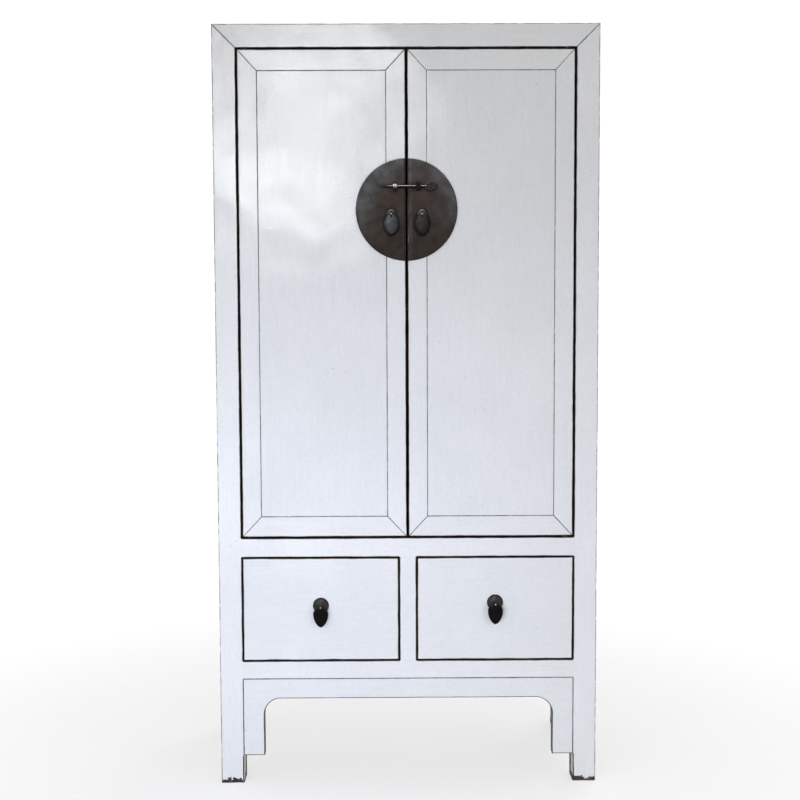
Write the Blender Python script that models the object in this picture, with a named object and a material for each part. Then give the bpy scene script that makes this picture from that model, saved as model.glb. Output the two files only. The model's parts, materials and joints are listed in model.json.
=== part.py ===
"""White lacquered armoire: two framed doors on wooden pivots over two drawers, with a round metal face plate.

Metres, +Z up, the front faces -Y. The origin is the middle of the bounding box's bottom.
Every wooden piece is its own object, and pieces that touch keep a gap of 0.3 mm.
"""

import math

import bmesh
import bpy
from mathutils import Matrix, Vector

# Case
WIDTH = 0.952
HEIGHT = 1.900
CASE_DEPTH = 0.480
POST_WIDTH = 0.0575
POST_DEPTH = 0.064
TOP_RAIL_HEIGHT = 0.0575
RAIL_DEPTH = 0.042
BACK_RAIL_DEPTH = 0.028
WAIST_TOP = 0.6295
WAIST_BOTTOM = 0.5815
BASE_TOP = 0.3155
BASE_BOTTOM = 0.2700
DIVIDER_WIDTH = 0.042

# Apron and feet
APRON_BOTTOM = 0.2185
APRON_THICKNESS = 0.020
APRON_RECESS = 0.0006
SPANDREL_WIDTH = 0.0535
SPANDREL_BOTTOM = 0.0715
ARCH_RADIUS = 0.040
TOE_RADIUS = 0.004
TOE_STEPS = 3
ARCH_STEPS = 8
SIDE_ARCH_TOP = 0.235
SIDE_SPANDREL_WIDTH = 0.034
SIDE_SPANDREL_BOTTOM = 0.150
SIDE_ARCH_RADIUS = 0.030
SIDE_RAIL_THICKNESS = 0.024

# Boards and panels
GAP = 0.0003
PANEL_THICKNESS = 0.012
PANEL_RECESS = 0.0006
BACK_RECESS = 0.003
TOP_THICKNESS = 0.014
TONGUE = 0.008
TONGUE_THICKNESS = 0.006
BOARD_THICKNESS = 0.014
SHELF_TOP = 1.215
DADO_DEPTH = 0.005
TENON_LENGTH = 0.020
TENON_THICKNESS = 0.012
TENON_SHOULDER = 0.008

# Doors
DOOR_GAP = 0.0040
MEETING_GAP = 0.0050
DOOR_THICKNESS = 0.024
STILE_WIDTH = 0.0475
DOOR_RAIL_WIDTH = 0.0510
MITRE_DEPTH = 0.0042
PIVOT_INSET = 0.018
PIVOT_BEHIND_FACE = 0.0105
PIVOT_RADIUS = 0.006
PIVOT_LENGTH = 0.012

# Drawers
DRAWER_GAP = 0.0030
DRAWER_LENGTH = 0.430
DRAWER_FRONT_THICKNESS = 0.018
DRAWER_SIDE_THICKNESS = 0.010
DRAWER_SIDE_HEIGHT = 0.220
DRAWER_BOTTOM_THICKNESS = 0.006
DRAWER_BOTTOM_LIFT = 0.010
DRAWER_RUN_CLEARANCE = 0.0005
GUIDE_HEIGHT = 0.015
GUIDE_CLEARANCE = 0.0015

# Metalwork
PLATE_RADIUS = 0.1255
PLATE_HEIGHT = 1.4480
PLATE_THICKNESS = 0.0025
PLATE_HALF_GAP = 0.0030
EYE_RADIUS = 0.0105
EYE_HOLE_RADIUS = 0.0040
EYE_HALF_WIDTH = 0.006
EYE_X = 0.0285
SHANK_RADIUS = 0.0026
SHANK_HOLE_RADIUS = 0.0030
CLENCH_RADIUS = 0.0050
CLENCH_END_RADIUS = 0.0040
CLENCH_THICKNESS = 0.0016
BOLT_HEIGHT = 1.5050
BOLT_RADIUS = 0.0032
BOLT_TIP_X = -0.070
BOLT_HEAD_START = 0.044
BOLT_HEAD_END = 0.078
BOLT_HEAD_WIDTH = 0.024
BOLT_HEAD_THICKNESS = 0.003
BOLT_HEAD_LOBE = 0.12
BOLT_HEAD_OVERLAP = 0.004
BOLT_HOLE_RADIUS = 0.0026
BOLT_HOLE_X = 0.0658
BOLT_HOLE_OFFSET = 0.0053
DOOR_PULL_X = 0.038
DOOR_PULL_HEIGHT = 1.4380
DOOR_ROSETTE_RADIUS = 0.0148
DOOR_ROSETTE_DOME = 0.0060
DRAWER_PULL_HEIGHT = {"left": 0.4577, "right": 0.4637}
DRAWER_ROSETTE_RADIUS = 0.0203
DRAWER_ROSETTE_DOME = 0.0085
ROSETTE_RIM = 0.0010
WIRE_RADIUS = 0.0012
RING_RADIUS = 0.0060
RING_STANDOFF = 0.0065
RING_STEPS = 18
LEG_SPACING = 0.0027
CLENCH_LENGTH = 0.010
DROP_WIDTH = 0.0380
DROP_BELOW_HOLE = 0.0465
DROP_ABOVE_HOLE = 0.0042
DROP_WIDEST_BELOW_HOLE = 0.0125
DROP_HOLE_RADIUS = 0.0024
DROP_BACK = 0.0018
DROP_FRONT = 0.0022
DROP_STEPS = 12
HOLE_MARGIN = 0.010

# Places worked out from the sizes above
HARDWARE_REACH = GAP + PLATE_THICKNESS + GAP + 2 * EYE_RADIUS
FRONT_Y = (HARDWARE_REACH - CASE_DEPTH) / 2
BACK_Y = FRONT_Y + CASE_DEPTH
HALF_WIDTH = WIDTH / 2
INNER_X = HALF_WIDTH - POST_WIDTH
OPENING_TOP = HEIGHT - TOP_RAIL_HEIGHT
MITRE_SHIFT = GAP / math.sqrt(2)
PANEL_INNER_X = HALF_WIDTH - PANEL_RECESS - PANEL_THICKNESS
BACK_PANEL_INNER_Y = BACK_Y - BACK_RECESS - PANEL_THICKNESS
PLATE_FRONT_Y = FRONT_Y - GAP - PLATE_THICKNESS
BOLT_Y = PLATE_FRONT_Y - GAP - EYE_RADIUS
DRAWER_INNER_X = DIVIDER_WIDTH / 2 + DRAWER_GAP
DRAWER_OUTER_X = INNER_X - DRAWER_GAP
DRAWER_PULL_X = (DRAWER_INNER_X + DRAWER_OUTER_X) / 2

LACQUER = ("white_lacquer", (0.80, 0.82, 0.84), 0.22, 0.0)
RAW_WOOD = ("raw_wood", (0.33, 0.20, 0.11), 0.70, 0.0)
BRONZE = ("dark_bronze", (0.075, 0.060, 0.052), 0.45, 0.9)

# For an axis: the two axes of a flat outline across it, then the axis itself.
PLANES = {"X": (1, 2, 0), "Y": (0, 2, 1), "Z": (0, 1, 2)}


def clear_scene():
    for obj in list(bpy.data.objects):
        bpy.data.objects.remove(obj)


def material(finish, name):
    """A Principled material of this finish for one piece."""
    slot, colour, roughness, metallic = finish
    made = bpy.data.materials.new(f"{slot}_{name}")
    made.use_nodes = True
    shader = made.node_tree.nodes["Principled BSDF"]
    shader.inputs["Base Color"].default_value = (*colour, 1.0)
    shader.inputs["Roughness"].default_value = roughness
    shader.inputs["Metallic"].default_value = metallic
    made.diffuse_color = (*colour, 1.0)
    return made


def ring(outline, axis, offset):
    """The outline's points in space, across the axis and this far along it."""
    first, second, along = PLANES[axis]
    points = []
    for a, b in outline:
        point = Vector((0.0, 0.0, 0.0))
        point[first] = a
        point[second] = b
        point[along] = offset
        points.append(point)
    return points


def stack(rings, closed=False):
    """A closed mesh through rings of points: capped at both ends, or joined end to start."""
    bm = bmesh.new()
    loops = [[bm.verts.new(point) for point in points] for points in rings]
    pairs = list(zip(loops, loops[1:]))
    if closed:
        pairs.append((loops[-1], loops[0]))
    for lower, upper in pairs:
        for i in range(len(lower)):
            j = (i + 1) % len(lower)
            bm.faces.new((lower[i], lower[j], upper[j], upper[i]))
    if not closed:
        bm.faces.new(loops[0])
        bm.faces.new(loops[-1])
    bmesh.ops.recalc_face_normals(bm, faces=bm.faces)
    return bm


def prism(outline, axis, start, end):
    return stack([ring(outline, axis, start), ring(outline, axis, end)])


def rectangle(low_a, low_b, high_a, high_b):
    return [(low_a, low_b), (high_a, low_b), (high_a, high_b), (low_a, high_b)]


def box(low, high):
    return prism(rectangle(low[0], low[1], high[0], high[1]), "Z", low[2], high[2])


def circle(centre, radius, sides):
    a, b = centre
    angles = [2 * math.pi * i / sides for i in range(sides)]
    return [(a + radius * math.cos(t), b + radius * math.sin(t)) for t in angles]


def cylinder(axis, centre, radius, start, end, sides=16):
    return prism(circle(centre, radius, sides), axis, start, end)


def turned(profile, axis, centre, sides=20, closed=False):
    """A turned shape: the profile's points are (radius, place along the axis)."""
    return stack([ring(circle(centre, r, sides), axis, place) for r, place in profile], closed)


def hull(points):
    bm = bmesh.new()
    for point in points:
        bm.verts.new(point)
    bmesh.ops.convex_hull(bm, input=bm.verts)
    bmesh.ops.recalc_face_normals(bm, faces=bm.faces)
    return bm


def arc(centre, radius, start, end, steps):
    """Points of an arc, with its angles in degrees."""
    a, b = centre
    angles = [math.radians(start + (end - start) * i / steps) for i in range(steps + 1)]
    return [(a + radius * math.cos(t), b + radius * math.sin(t)) for t in angles]


def scene_object(name, shape):
    mesh = bpy.data.meshes.new(name)
    shape.to_mesh(mesh)
    shape.free()
    obj = bpy.data.objects.new(name, mesh)
    bpy.context.scene.collection.objects.link(obj)
    return obj


def piece(name, shape, finish, smooth=False):
    obj = scene_object(name, shape)
    obj.data.materials.append(material(finish, name))
    if smooth:
        obj.data.shade_smooth()
        obj.data.set_sharp_from_angle(angle=math.radians(35))
    return obj


def tool(name, shape):
    """A hidden shape that Booleans cut or join with."""
    obj = scene_object(name, shape)
    obj.hide_render = True
    obj.display_type = "WIRE"
    return obj


def apply_tool(obj, other, operation):
    modifier = obj.modifiers.new(f"{operation.lower()}_{other.name}", "BOOLEAN")
    modifier.operation = operation
    modifier.solver = "EXACT"
    modifier.object = other


def cut(name, shape, *objects):
    """Cuts one shape out of these objects."""
    cutter = tool(f"cut_{name}", shape)
    for obj in objects:
        apply_tool(obj, cutter, "DIFFERENCE")


def join(obj, name, shape):
    apply_tool(obj, tool(f"join_{name}", shape), "UNION")


def axis_at(name, place):
    """An empty on a joint's axis, which the pieces of a moving body hang from."""
    empty = bpy.data.objects.new(name, None)
    bpy.context.scene.collection.objects.link(empty)
    empty.location = place
    empty.empty_display_size = 0.03
    return empty


def hang(empty, *objects):
    """Parents objects made in world coordinates to an empty, with their origins on it."""
    for obj in objects:
        obj.data.transform(Matrix.Translation(-empty.location))
        obj.parent = empty


def tongued_panel(name, axis, low, high, face, inward, thickness, finish, neighbours):
    """A panel with a tongue all round, and the groove for it in its neighbours.

    low and high are corners of the frame's opening across the axis, face is the place of the panel's outer
    face along it, and inward is the sign of the way from that face into the case.
    """
    core = rectangle(low[0] + GAP, low[1] + GAP, high[0] - GAP, high[1] - GAP)
    reach = TONGUE - GAP
    edge = rectangle(low[0] - reach, low[1] - reach, high[0] + reach, high[1] + reach)
    step = face + inward * (thickness - TONGUE_THICKNESS)
    back = face + inward * thickness
    levels = [ring(core, axis, face), ring(core, axis, step), ring(edge, axis, step), ring(edge, axis, back)]
    panel = piece(name, stack(levels), finish)
    groove = rectangle(low[0] - TONGUE, low[1] - TONGUE, high[0] + TONGUE, high[1] + TONGUE)
    cut(f"{name}_groove", prism(groove, axis, step - inward * GAP, back + inward * GAP), *neighbours)
    return panel


def posts():
    made = {}
    for side, side_name in ((-1, "left"), (1, "right")):
        for end, end_name in ((-1, "front"), (1, "back")):
            outer = Vector((side * HALF_WIDTH, FRONT_Y if end < 0 else BACK_Y))
            inner = outer - Vector((side * POST_WIDTH, end * POST_DEPTH))
            section = rectangle(outer.x, outer.y, inner.x, inner.y)
            shoulder = OPENING_TOP - MITRE_SHIFT
            apex = Vector((outer.x, outer.y, HEIGHT - MITRE_SHIFT))
            points = ring(section, "Z", 0) + ring(section, "Z", shoulder) + [apex]
            name = f"post_{end_name}_{side_name}"
            made[end_name, side_name] = piece(name, hull(points), LACQUER)
    return made


def top_rails():
    """The top frame's four sides. Each end is a pyramid whose point is the case's outer corner."""
    made = {}
    for end_name, outer_y, inner_y in (
        ("front", FRONT_Y, FRONT_Y + POST_DEPTH),
        ("back", BACK_Y, BACK_Y - POST_DEPTH),
    ):
        section = rectangle(outer_y, OPENING_TOP, inner_y, HEIGHT)
        points = []
        for side in (-1, 1):
            points += ring(section, "X", side * (INNER_X - MITRE_SHIFT))
            points.append(Vector((side * (HALF_WIDTH - MITRE_SHIFT), outer_y, HEIGHT)))
        made[end_name] = piece(f"top_rail_{end_name}", hull(points), LACQUER)
    for side_name, side in (("left", -1), ("right", 1)):
        section = rectangle(side * HALF_WIDTH, OPENING_TOP, side * INNER_X, HEIGHT)
        points = []
        for outer_y, inward in ((FRONT_Y, 1), (BACK_Y, -1)):
            points += ring(section, "Y", outer_y + inward * (POST_DEPTH + MITRE_SHIFT))
            points.append(Vector((side * HALF_WIDTH, outer_y + inward * MITRE_SHIFT, HEIGHT)))
        made[side_name] = piece(f"top_rail_{side_name}", hull(points), LACQUER)
    return made


def tenoned_rail(name, low_y, high_y, bottom, top, finish, end_posts):
    """A rail along X between two posts, with a tenon in each of them."""
    face = rectangle(low_y, bottom, high_y, top)
    middle = (low_y + high_y) / 2
    tenon_low = (middle - TENON_THICKNESS / 2, bottom + TENON_SHOULDER)
    tenon_high = (middle + TENON_THICKNESS / 2, top - TENON_SHOULDER)
    tenon = rectangle(*tenon_low, *tenon_high)
    shoulder = INNER_X - GAP
    tip = INNER_X + TENON_LENGTH
    right = [(face, shoulder), (tenon, shoulder), (tenon, tip)]
    left = [(outline, -place) for outline, place in reversed(right)]
    rail = piece(name, stack([ring(outline, "X", place) for outline, place in left + right]), finish)
    mortise = rectangle(
        tenon_low[0] - GAP, tenon_low[1] - GAP, tenon_high[0] + GAP, tenon_high[1] + GAP
    )
    cut(f"{name}_mortises", prism(mortise, "X", -tip - GAP, tip + GAP), *end_posts)
    return rail


def arched_outline(half, top, arch_top, spandrel_width, spandrel_bottom, radius):
    """The outline of a board with an arch under it, the same on both sides of its middle."""
    inner = half - spandrel_width
    right = [(half, top), (half, spandrel_bottom)]
    right += arc((inner + TOE_RADIUS, spandrel_bottom + TOE_RADIUS), TOE_RADIUS, 270, 180, TOE_STEPS)
    right += arc((inner - radius, arch_top - radius), radius, 0, 90, ARCH_STEPS)
    left = [(-a, b) for a, b in reversed(right)]
    return right + left


def apron():
    outline = arched_outline(
        INNER_X - GAP, BASE_BOTTOM - GAP, APRON_BOTTOM, SPANDREL_WIDTH, SPANDREL_BOTTOM, ARCH_RADIUS
    )
    start = FRONT_Y + APRON_RECESS
    return piece("apron_front", prism(outline, "Y", start, start + APRON_THICKNESS), LACQUER)


def side_base_rail(side, side_name, end_posts):
    """The shaped rail at the bottom of one side, with a tongue at each end in the posts."""
    middle_y = (FRONT_Y + BACK_Y) / 2
    half = CASE_DEPTH / 2 - POST_DEPTH - GAP
    outline = arched_outline(
        half, BASE_TOP, SIDE_ARCH_TOP, SIDE_SPANDREL_WIDTH, SIDE_SPANDREL_BOTTOM, SIDE_ARCH_RADIUS
    )
    outer = side * (HALF_WIDTH - PANEL_RECESS)
    inner = outer - side * SIDE_RAIL_THICKNESS
    shape = prism([(middle_y + a, b) for a, b in outline], "X", outer, inner)
    rail = piece(f"base_rail_{side_name}", shape, LACQUER)
    tenon_x = (outer - side * TENON_SHOULDER, inner)
    tenon_low, tenon_high = BASE_BOTTOM, BASE_TOP - 2 * TENON_SHOULDER
    reach = half + TENON_LENGTH / 2
    for end in (-1, 1):
        root, tip = middle_y + end * (half - TENON_LENGTH), middle_y + end * reach
        tenon = rectangle(root, tenon_low, tip, tenon_high)
        join(rail, f"base_rail_{side_name}_tenon{end:+d}", prism(tenon, "X", *tenon_x))
    mortise = rectangle(
        middle_y - reach - GAP, tenon_low - GAP, middle_y + reach + GAP, tenon_high + GAP
    )
    mortise_shape = prism(mortise, "X", tenon_x[0] + side * GAP, tenon_x[1] - side * GAP)
    cut(f"base_rail_{side_name}_mortises", mortise_shape, *end_posts)
    return rail


def notched_outline(front, back, side_half):
    """A level board between the four posts: it reaches the side panels between them."""
    between = INNER_X - GAP
    post_back = FRONT_Y + POST_DEPTH + GAP
    post_front = BACK_Y - POST_DEPTH - GAP
    right = [(between, front), (between, post_back), (side_half, post_back)]
    right += [(side_half, post_front), (between, post_front), (between, back)]
    return right + [(-a, b) for a, b in reversed(right)]


def tongued_board(name, top, side_half, front_rail, back_rail, back_rail_front):
    """A level board with a tongue in the rail in front of it and one in the rail behind."""
    front = FRONT_Y + RAIL_DEPTH + GAP
    back = back_rail_front - GAP
    reach = TONGUE - 2 * GAP
    bottom = top - BOARD_THICKNESS
    outline = notched_outline(front - reach, back + reach, side_half - GAP)
    board = piece(name, prism(outline, "Z", bottom, top), RAW_WOOD)
    step = bottom + TONGUE_THICKNESS
    for end_name, low_y, high_y, rail in (
        ("front", front - TONGUE, front, front_rail),
        ("back", back, back + TONGUE, back_rail),
    ):
        rabbet = box((-HALF_WIDTH, low_y, step), (HALF_WIDTH, high_y, top + TONGUE))
        cut(f"{name}_rabbet_{end_name}", rabbet, board)
        groove = box((-INNER_X, low_y - GAP, bottom - GAP), (INNER_X, high_y + GAP, step + GAP))
        cut(f"{name}_groove_{end_name}", groove, rail)
    return board


def drawer_guides(deck):
    """Strips on the deck that keep the drawers straight: one between them, and one outside each."""
    start = FRONT_Y + POST_DEPTH + 2 * GAP
    end = BACK_Y - POST_DEPTH - 2 * GAP
    inner_side = DRAWER_INNER_X - GUIDE_CLEARANCE
    outer_side = DRAWER_OUTER_X + GUIDE_CLEARANCE
    strips = {"middle": (-inner_side, inner_side)}
    strips["right"] = (outer_side, outer_side + GUIDE_HEIGHT)
    strips["left"] = (-outer_side - GUIDE_HEIGHT, -outer_side)
    for strip_name, (low_x, high_x) in strips.items():
        strip = box((low_x, start, BASE_TOP - BOARD_THICKNESS / 2), (high_x, end, BASE_TOP + GUIDE_HEIGHT))
        join(deck, f"guide_{strip_name}", strip)


def divider(waist_rail, base_rail):
    """The short upright between the drawers, tenoned into the rails above and below it."""
    half = DIVIDER_WIDTH / 2
    face = rectangle(-half, FRONT_Y, half, FRONT_Y + RAIL_DEPTH)
    middle = FRONT_Y + RAIL_DEPTH / 2
    tenon_half_x = half - TENON_SHOULDER
    tenon_half_y = TENON_THICKNESS / 2
    tenon = rectangle(-tenon_half_x, middle - tenon_half_y, tenon_half_x, middle + tenon_half_y)
    bottom, top = BASE_TOP + GAP, WAIST_BOTTOM - GAP
    reach = TENON_LENGTH / 2
    places = [(tenon, bottom - reach), (tenon, bottom), (face, bottom)]
    places += [(face, top), (tenon, top), (tenon, top + reach)]
    shape = stack([ring(outline, "Z", place) for outline, place in places])
    obj = piece("drawer_divider", shape, LACQUER)
    low = (-tenon_half_x - GAP, middle - tenon_half_y - GAP, bottom - reach - GAP)
    high = (tenon_half_x + GAP, middle + tenon_half_y + GAP, top + reach + GAP)
    cut("divider_mortises", box(low, high), waist_rail, base_rail)
    return obj


def carcass():
    """Everything that stands still. Returns the two rails that the door pivots turn in."""
    post = posts()
    rail = top_rails()
    front_posts = [post["front", "left"], post["front", "right"]]
    back_posts = [post["back", "left"], post["back", "right"]]
    waist_front = tenoned_rail(
        "waist_rail_front", FRONT_Y, FRONT_Y + RAIL_DEPTH, WAIST_BOTTOM, WAIST_TOP, LACQUER, front_posts
    )
    base_front = tenoned_rail(
        "base_rail_front", FRONT_Y, FRONT_Y + RAIL_DEPTH, BASE_BOTTOM, BASE_TOP, LACQUER, front_posts
    )
    waist_back_y = (BACK_PANEL_INNER_Y - GAP - BACK_RAIL_DEPTH, BACK_PANEL_INNER_Y - GAP)
    waist_back = tenoned_rail(
        "waist_rail_back", *waist_back_y, WAIST_BOTTOM, WAIST_TOP, RAW_WOOD, back_posts
    )
    base_back = tenoned_rail(
        "base_rail_back", BACK_Y - RAIL_DEPTH, BACK_Y, BASE_BOTTOM, BASE_TOP, LACQUER, back_posts
    )
    apron()
    divider(waist_front, base_front)
    tongued_board("cupboard_floor", WAIST_TOP, PANEL_INNER_X, waist_front, waist_back, waist_back_y[0])
    side_rail_inner_x = HALF_WIDTH - PANEL_RECESS - SIDE_RAIL_THICKNESS
    deck = tongued_board(
        "drawer_deck", BASE_TOP, side_rail_inner_x, base_front, base_back, BACK_Y - RAIL_DEPTH
    )
    drawer_guides(deck)

    side_low = (FRONT_Y + POST_DEPTH, BASE_TOP)
    side_high = (BACK_Y - POST_DEPTH, OPENING_TOP)
    shelf_bottom = SHELF_TOP - BOARD_THICKNESS
    shelf_outline = notched_outline(
        side_low[0] + GAP, BACK_PANEL_INNER_Y - GAP, PANEL_INNER_X + DADO_DEPTH - GAP
    )
    piece("shelf", prism(shelf_outline, "Z", shelf_bottom, SHELF_TOP), RAW_WOOD)
    for side, side_name in ((-1, "left"), (1, "right")):
        end_posts = [post["front", side_name], post["back", side_name]]
        base_side = side_base_rail(side, side_name, end_posts)
        face = side * (HALF_WIDTH - PANEL_RECESS)
        neighbours = [*end_posts, base_side, rail[side_name]]
        panel = tongued_panel(
            f"side_panel_{side_name}", "X", side_low, side_high, face, -side,
            PANEL_THICKNESS, LACQUER, neighbours,
        )
        dado = rectangle(side_low[0] - TONGUE, shelf_bottom - GAP, side_high[0] + TONGUE, SHELF_TOP + GAP)
        inner = side * PANEL_INNER_X
        dado_shape = prism(dado, "X", inner - side * TONGUE, inner + side * DADO_DEPTH)
        cut(f"dado_{side_name}", dado_shape, panel)
    tongued_panel(
        "back_panel", "Y", (-INNER_X, BASE_TOP), (INNER_X, OPENING_TOP), BACK_Y - BACK_RECESS, -1,
        PANEL_THICKNESS, LACQUER, [*back_posts, base_back, rail["back"]],
    )
    tongued_panel(
        "top_panel", "Z", (-INNER_X, side_low[0]), (INNER_X, side_high[0]), HEIGHT - PANEL_RECESS, -1,
        TOP_THICKNESS, LACQUER, list(rail.values()),
    )
    return rail["front"], waist_front


def rosette(name, x, z, face_y, radius, dome):
    """A domed washer against the face at face_y, with a hole for the staple's legs."""
    back = face_y - GAP
    profile = [(SHANK_HOLE_RADIUS, back), (radius, back), (radius, back - ROSETTE_RIM)]
    for step in (25, 50, 75):
        t = math.radians(step)
        rise = ROSETTE_RIM + (dome - ROSETTE_RIM) * math.sin(t)
        profile.append((max(radius * math.cos(t), SHANK_HOLE_RADIUS), back - rise))
    profile.append((SHANK_HOLE_RADIUS, back - dome))
    return piece(name, turned(profile, "Y", (x, z), sides=24, closed=True), BRONZE, smooth=True)


def staple(name, x, z, ring_y, clench_y):
    """A wire loop across X whose two legs run back and are bent over behind the board."""
    gap_angle = math.degrees(math.asin(LEG_SPACING / 2 / RING_RADIUS))
    loop = arc((ring_y, z), RING_RADIUS, gap_angle, 360 - gap_angle, RING_STEPS)
    leg_up, leg_down = z + LEG_SPACING / 2, z - LEG_SPACING / 2
    start = [(clench_y, leg_up + CLENCH_LENGTH), (clench_y, leg_up)]
    end = [(clench_y, leg_down), (clench_y, leg_down - CLENCH_LENGTH)]
    curve = bpy.data.curves.new(name, "CURVE")
    curve.dimensions = "3D"
    curve.bevel_depth = WIRE_RADIUS
    curve.bevel_resolution = 2
    curve.use_fill_caps = True
    wire = curve.splines.new("POLY")
    points = start + loop + end
    wire.points.add(len(points) - 1)
    for target, (a, b) in zip(wire.points, points):
        target.co = (x, a, b, 1.0)
    curve.materials.append(material(BRONZE, name))
    obj = bpy.data.objects.new(name, curve)
    bpy.context.scene.collection.objects.link(obj)
    return obj


def drop_half_width(below_hole):
    """The drop's half width at a height below its hole: round shoulders, then a rounded point."""
    if below_hole > DROP_WIDEST_BELOW_HOLE:
        rise = (DROP_BELOW_HOLE - below_hole) / (DROP_BELOW_HOLE - DROP_WIDEST_BELOW_HOLE)
        return DROP_WIDTH / 2 * math.sin(math.pi / 2 * rise) ** 0.55
    up = (DROP_WIDEST_BELOW_HOLE - below_hole) / (DROP_WIDEST_BELOW_HOLE + DROP_ABOVE_HOLE)
    return DROP_WIDTH / 2 * math.sqrt(1 - up**2.2)


def pull_drop(name, x, z, ring_y):
    """A solid pendant with a flat back and a domed front, whose hole hangs on the staple's ring."""
    length = DROP_BELOW_HOLE + DROP_ABOVE_HOLE
    hole_z = z - RING_RADIUS
    shares = [(1 - math.cos(math.pi * i / DROP_STEPS)) / 2 for i in range(DROP_STEPS + 1)]
    heights = [share * length - DROP_ABOVE_HOLE for share in shares]
    right = [(drop_half_width(h), -h) for h in heights]
    outline = right + [(-a, b) for a, b in reversed(right[1:-1])]
    middle = -DROP_WIDEST_BELOW_HOLE
    levels = []
    for scale, forward in (
        (0.97, -DROP_BACK),
        (1.0, -DROP_BACK / 2),
        (1.0, DROP_FRONT / 3),
        (0.86, DROP_FRONT),
    ):
        scaled = [(x + a * scale, hole_z + middle + (b - middle) * scale) for a, b in outline]
        levels.append(ring(scaled, "Y", ring_y - forward))
    drop = piece(name, stack(levels), BRONZE, smooth=True)
    hole = cylinder(
        "Y", (x, hole_z), DROP_HOLE_RADIUS, ring_y - HOLE_MARGIN, ring_y + HOLE_MARGIN, sides=14
    )
    cut(f"{name}_hole", hole, drop)
    return drop


def pull(prefix, x, z, face_y, board_back_y, radius, dome):
    """Rosette, staple and drop on the face at face_y. Returns the pieces that are fixed to the board."""
    ring_y = face_y - GAP - dome - RING_STANDOFF
    clench_y = board_back_y + WIRE_RADIUS + GAP
    fixed = [
        rosette(f"{prefix}_pull_rosette", x, z, face_y, radius, dome),
        staple(f"{prefix}_pull_staple", x, z, ring_y, clench_y),
    ]
    drop = pull_drop(f"{prefix}_pull_drop", x, z, ring_y)
    return fixed, drop, Vector((x, ring_y, z))


def face_plate(side, side_name):
    """Half of the round plate, on one door."""
    start = PLATE_HALF_GAP / 2 + MEETING_GAP / 2
    angle = math.degrees(math.asin(start / PLATE_RADIUS))
    rim = arc((0, PLATE_HEIGHT), PLATE_RADIUS, -90 + angle, 90 - angle, 28)
    outline = [(side * a, b) for a, b in rim]
    return piece(f"face_plate_{side_name}", prism(outline, "Y", FRONT_Y - GAP, PLATE_FRONT_Y), BRONZE)


def bolt_eye(side, side_name):
    """A thick collar on a shank that goes through the plate and the door, with its end hammered over."""
    middle_radius = (EYE_RADIUS + EYE_HOLE_RADIUS) / 2
    tube_radius = (EYE_RADIUS - EYE_HOLE_RADIUS) / 2
    x = side * EYE_X
    profile = []
    for i in range(10):
        t = 2 * math.pi * i / 10
        profile.append((middle_radius + tube_radius * math.cos(t), x + EYE_HALF_WIDTH * math.sin(t)))
    collar = turned(profile, "X", (BOLT_Y, BOLT_HEIGHT), sides=20, closed=True)
    eye = piece(f"bolt_eye_{side_name}", collar, BRONZE, smooth=True)
    clench = FRONT_Y + DOOR_THICKNESS + GAP
    shank = [
        (SHANK_RADIUS, BOLT_Y + middle_radius),
        (SHANK_RADIUS, clench),
        (CLENCH_RADIUS, clench),
        (CLENCH_END_RADIUS, clench + CLENCH_THICKNESS),
    ]
    join(eye, f"shank_{side_name}", turned(shank, "Y", (x, BOLT_HEIGHT), sides=12))
    return eye


def bolt_pin():
    """The pin: a pointed shaft with a pierced leaf for a head."""
    profile = [(BOLT_RADIUS * 0.25, BOLT_TIP_X), (BOLT_RADIUS * 0.8, BOLT_TIP_X + 0.010)]
    profile += [(BOLT_RADIUS, BOLT_TIP_X + 0.030), (BOLT_RADIUS, BOLT_HEAD_START + BOLT_HEAD_OVERLAP)]
    pin = piece("bolt_pin", turned(profile, "X", (BOLT_Y, BOLT_HEIGHT), sides=12), BRONZE, smooth=True)
    length = BOLT_HEAD_END - BOLT_HEAD_START
    centre_x = (BOLT_HEAD_START + BOLT_HEAD_END) / 2
    steps = 24
    outline = []
    for i in range(steps):
        t = 2 * math.pi * i / steps
        lobe = 1 - BOLT_HEAD_LOBE * math.cos(3 * t) ** 2
        outline.append((
            centre_x + length / 2 * math.cos(t),
            BOLT_HEIGHT + BOLT_HEAD_WIDTH / 2 * lobe * math.sin(t),
        ))
    half = BOLT_HEAD_THICKNESS / 2
    join(pin, "bolt_head", prism(outline, "Y", BOLT_Y - half, BOLT_Y + half))
    for hole, z in (("upper", BOLT_HEIGHT + BOLT_HOLE_OFFSET), ("lower", BOLT_HEIGHT - BOLT_HOLE_OFFSET)):
        shape = cylinder(
            "Y", (BOLT_HOLE_X, z), BOLT_HOLE_RADIUS, BOLT_Y - HOLE_MARGIN, BOLT_Y + HOLE_MARGIN, sides=10
        )
        cut(f"bolt_head_{hole}", shape, pin)
    return pin


def door_stile(name, side, edge, panel_edge, ends, panel_ends):
    """A stile of the door's full height. Its mitres are only in its front layer, over the rails' ends."""
    x, panel_x = side * edge, side * panel_edge
    bottom, top = ends
    mitred = [
        (x, bottom + MITRE_SHIFT),
        (x, top - MITRE_SHIFT),
        (panel_x, panel_ends[1] - MITRE_SHIFT),
        (panel_x, panel_ends[0] + MITRE_SHIFT),
    ]
    overlap = MITRE_DEPTH / 4
    body = prism(rectangle(x, bottom, panel_x, top), "Y", FRONT_Y + MITRE_DEPTH, FRONT_Y + DOOR_THICKNESS)
    stile = piece(name, body, LACQUER)
    join(stile, f"{name}_face", prism(mitred, "Y", FRONT_Y, FRONT_Y + MITRE_DEPTH + overlap))
    return stile


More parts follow.
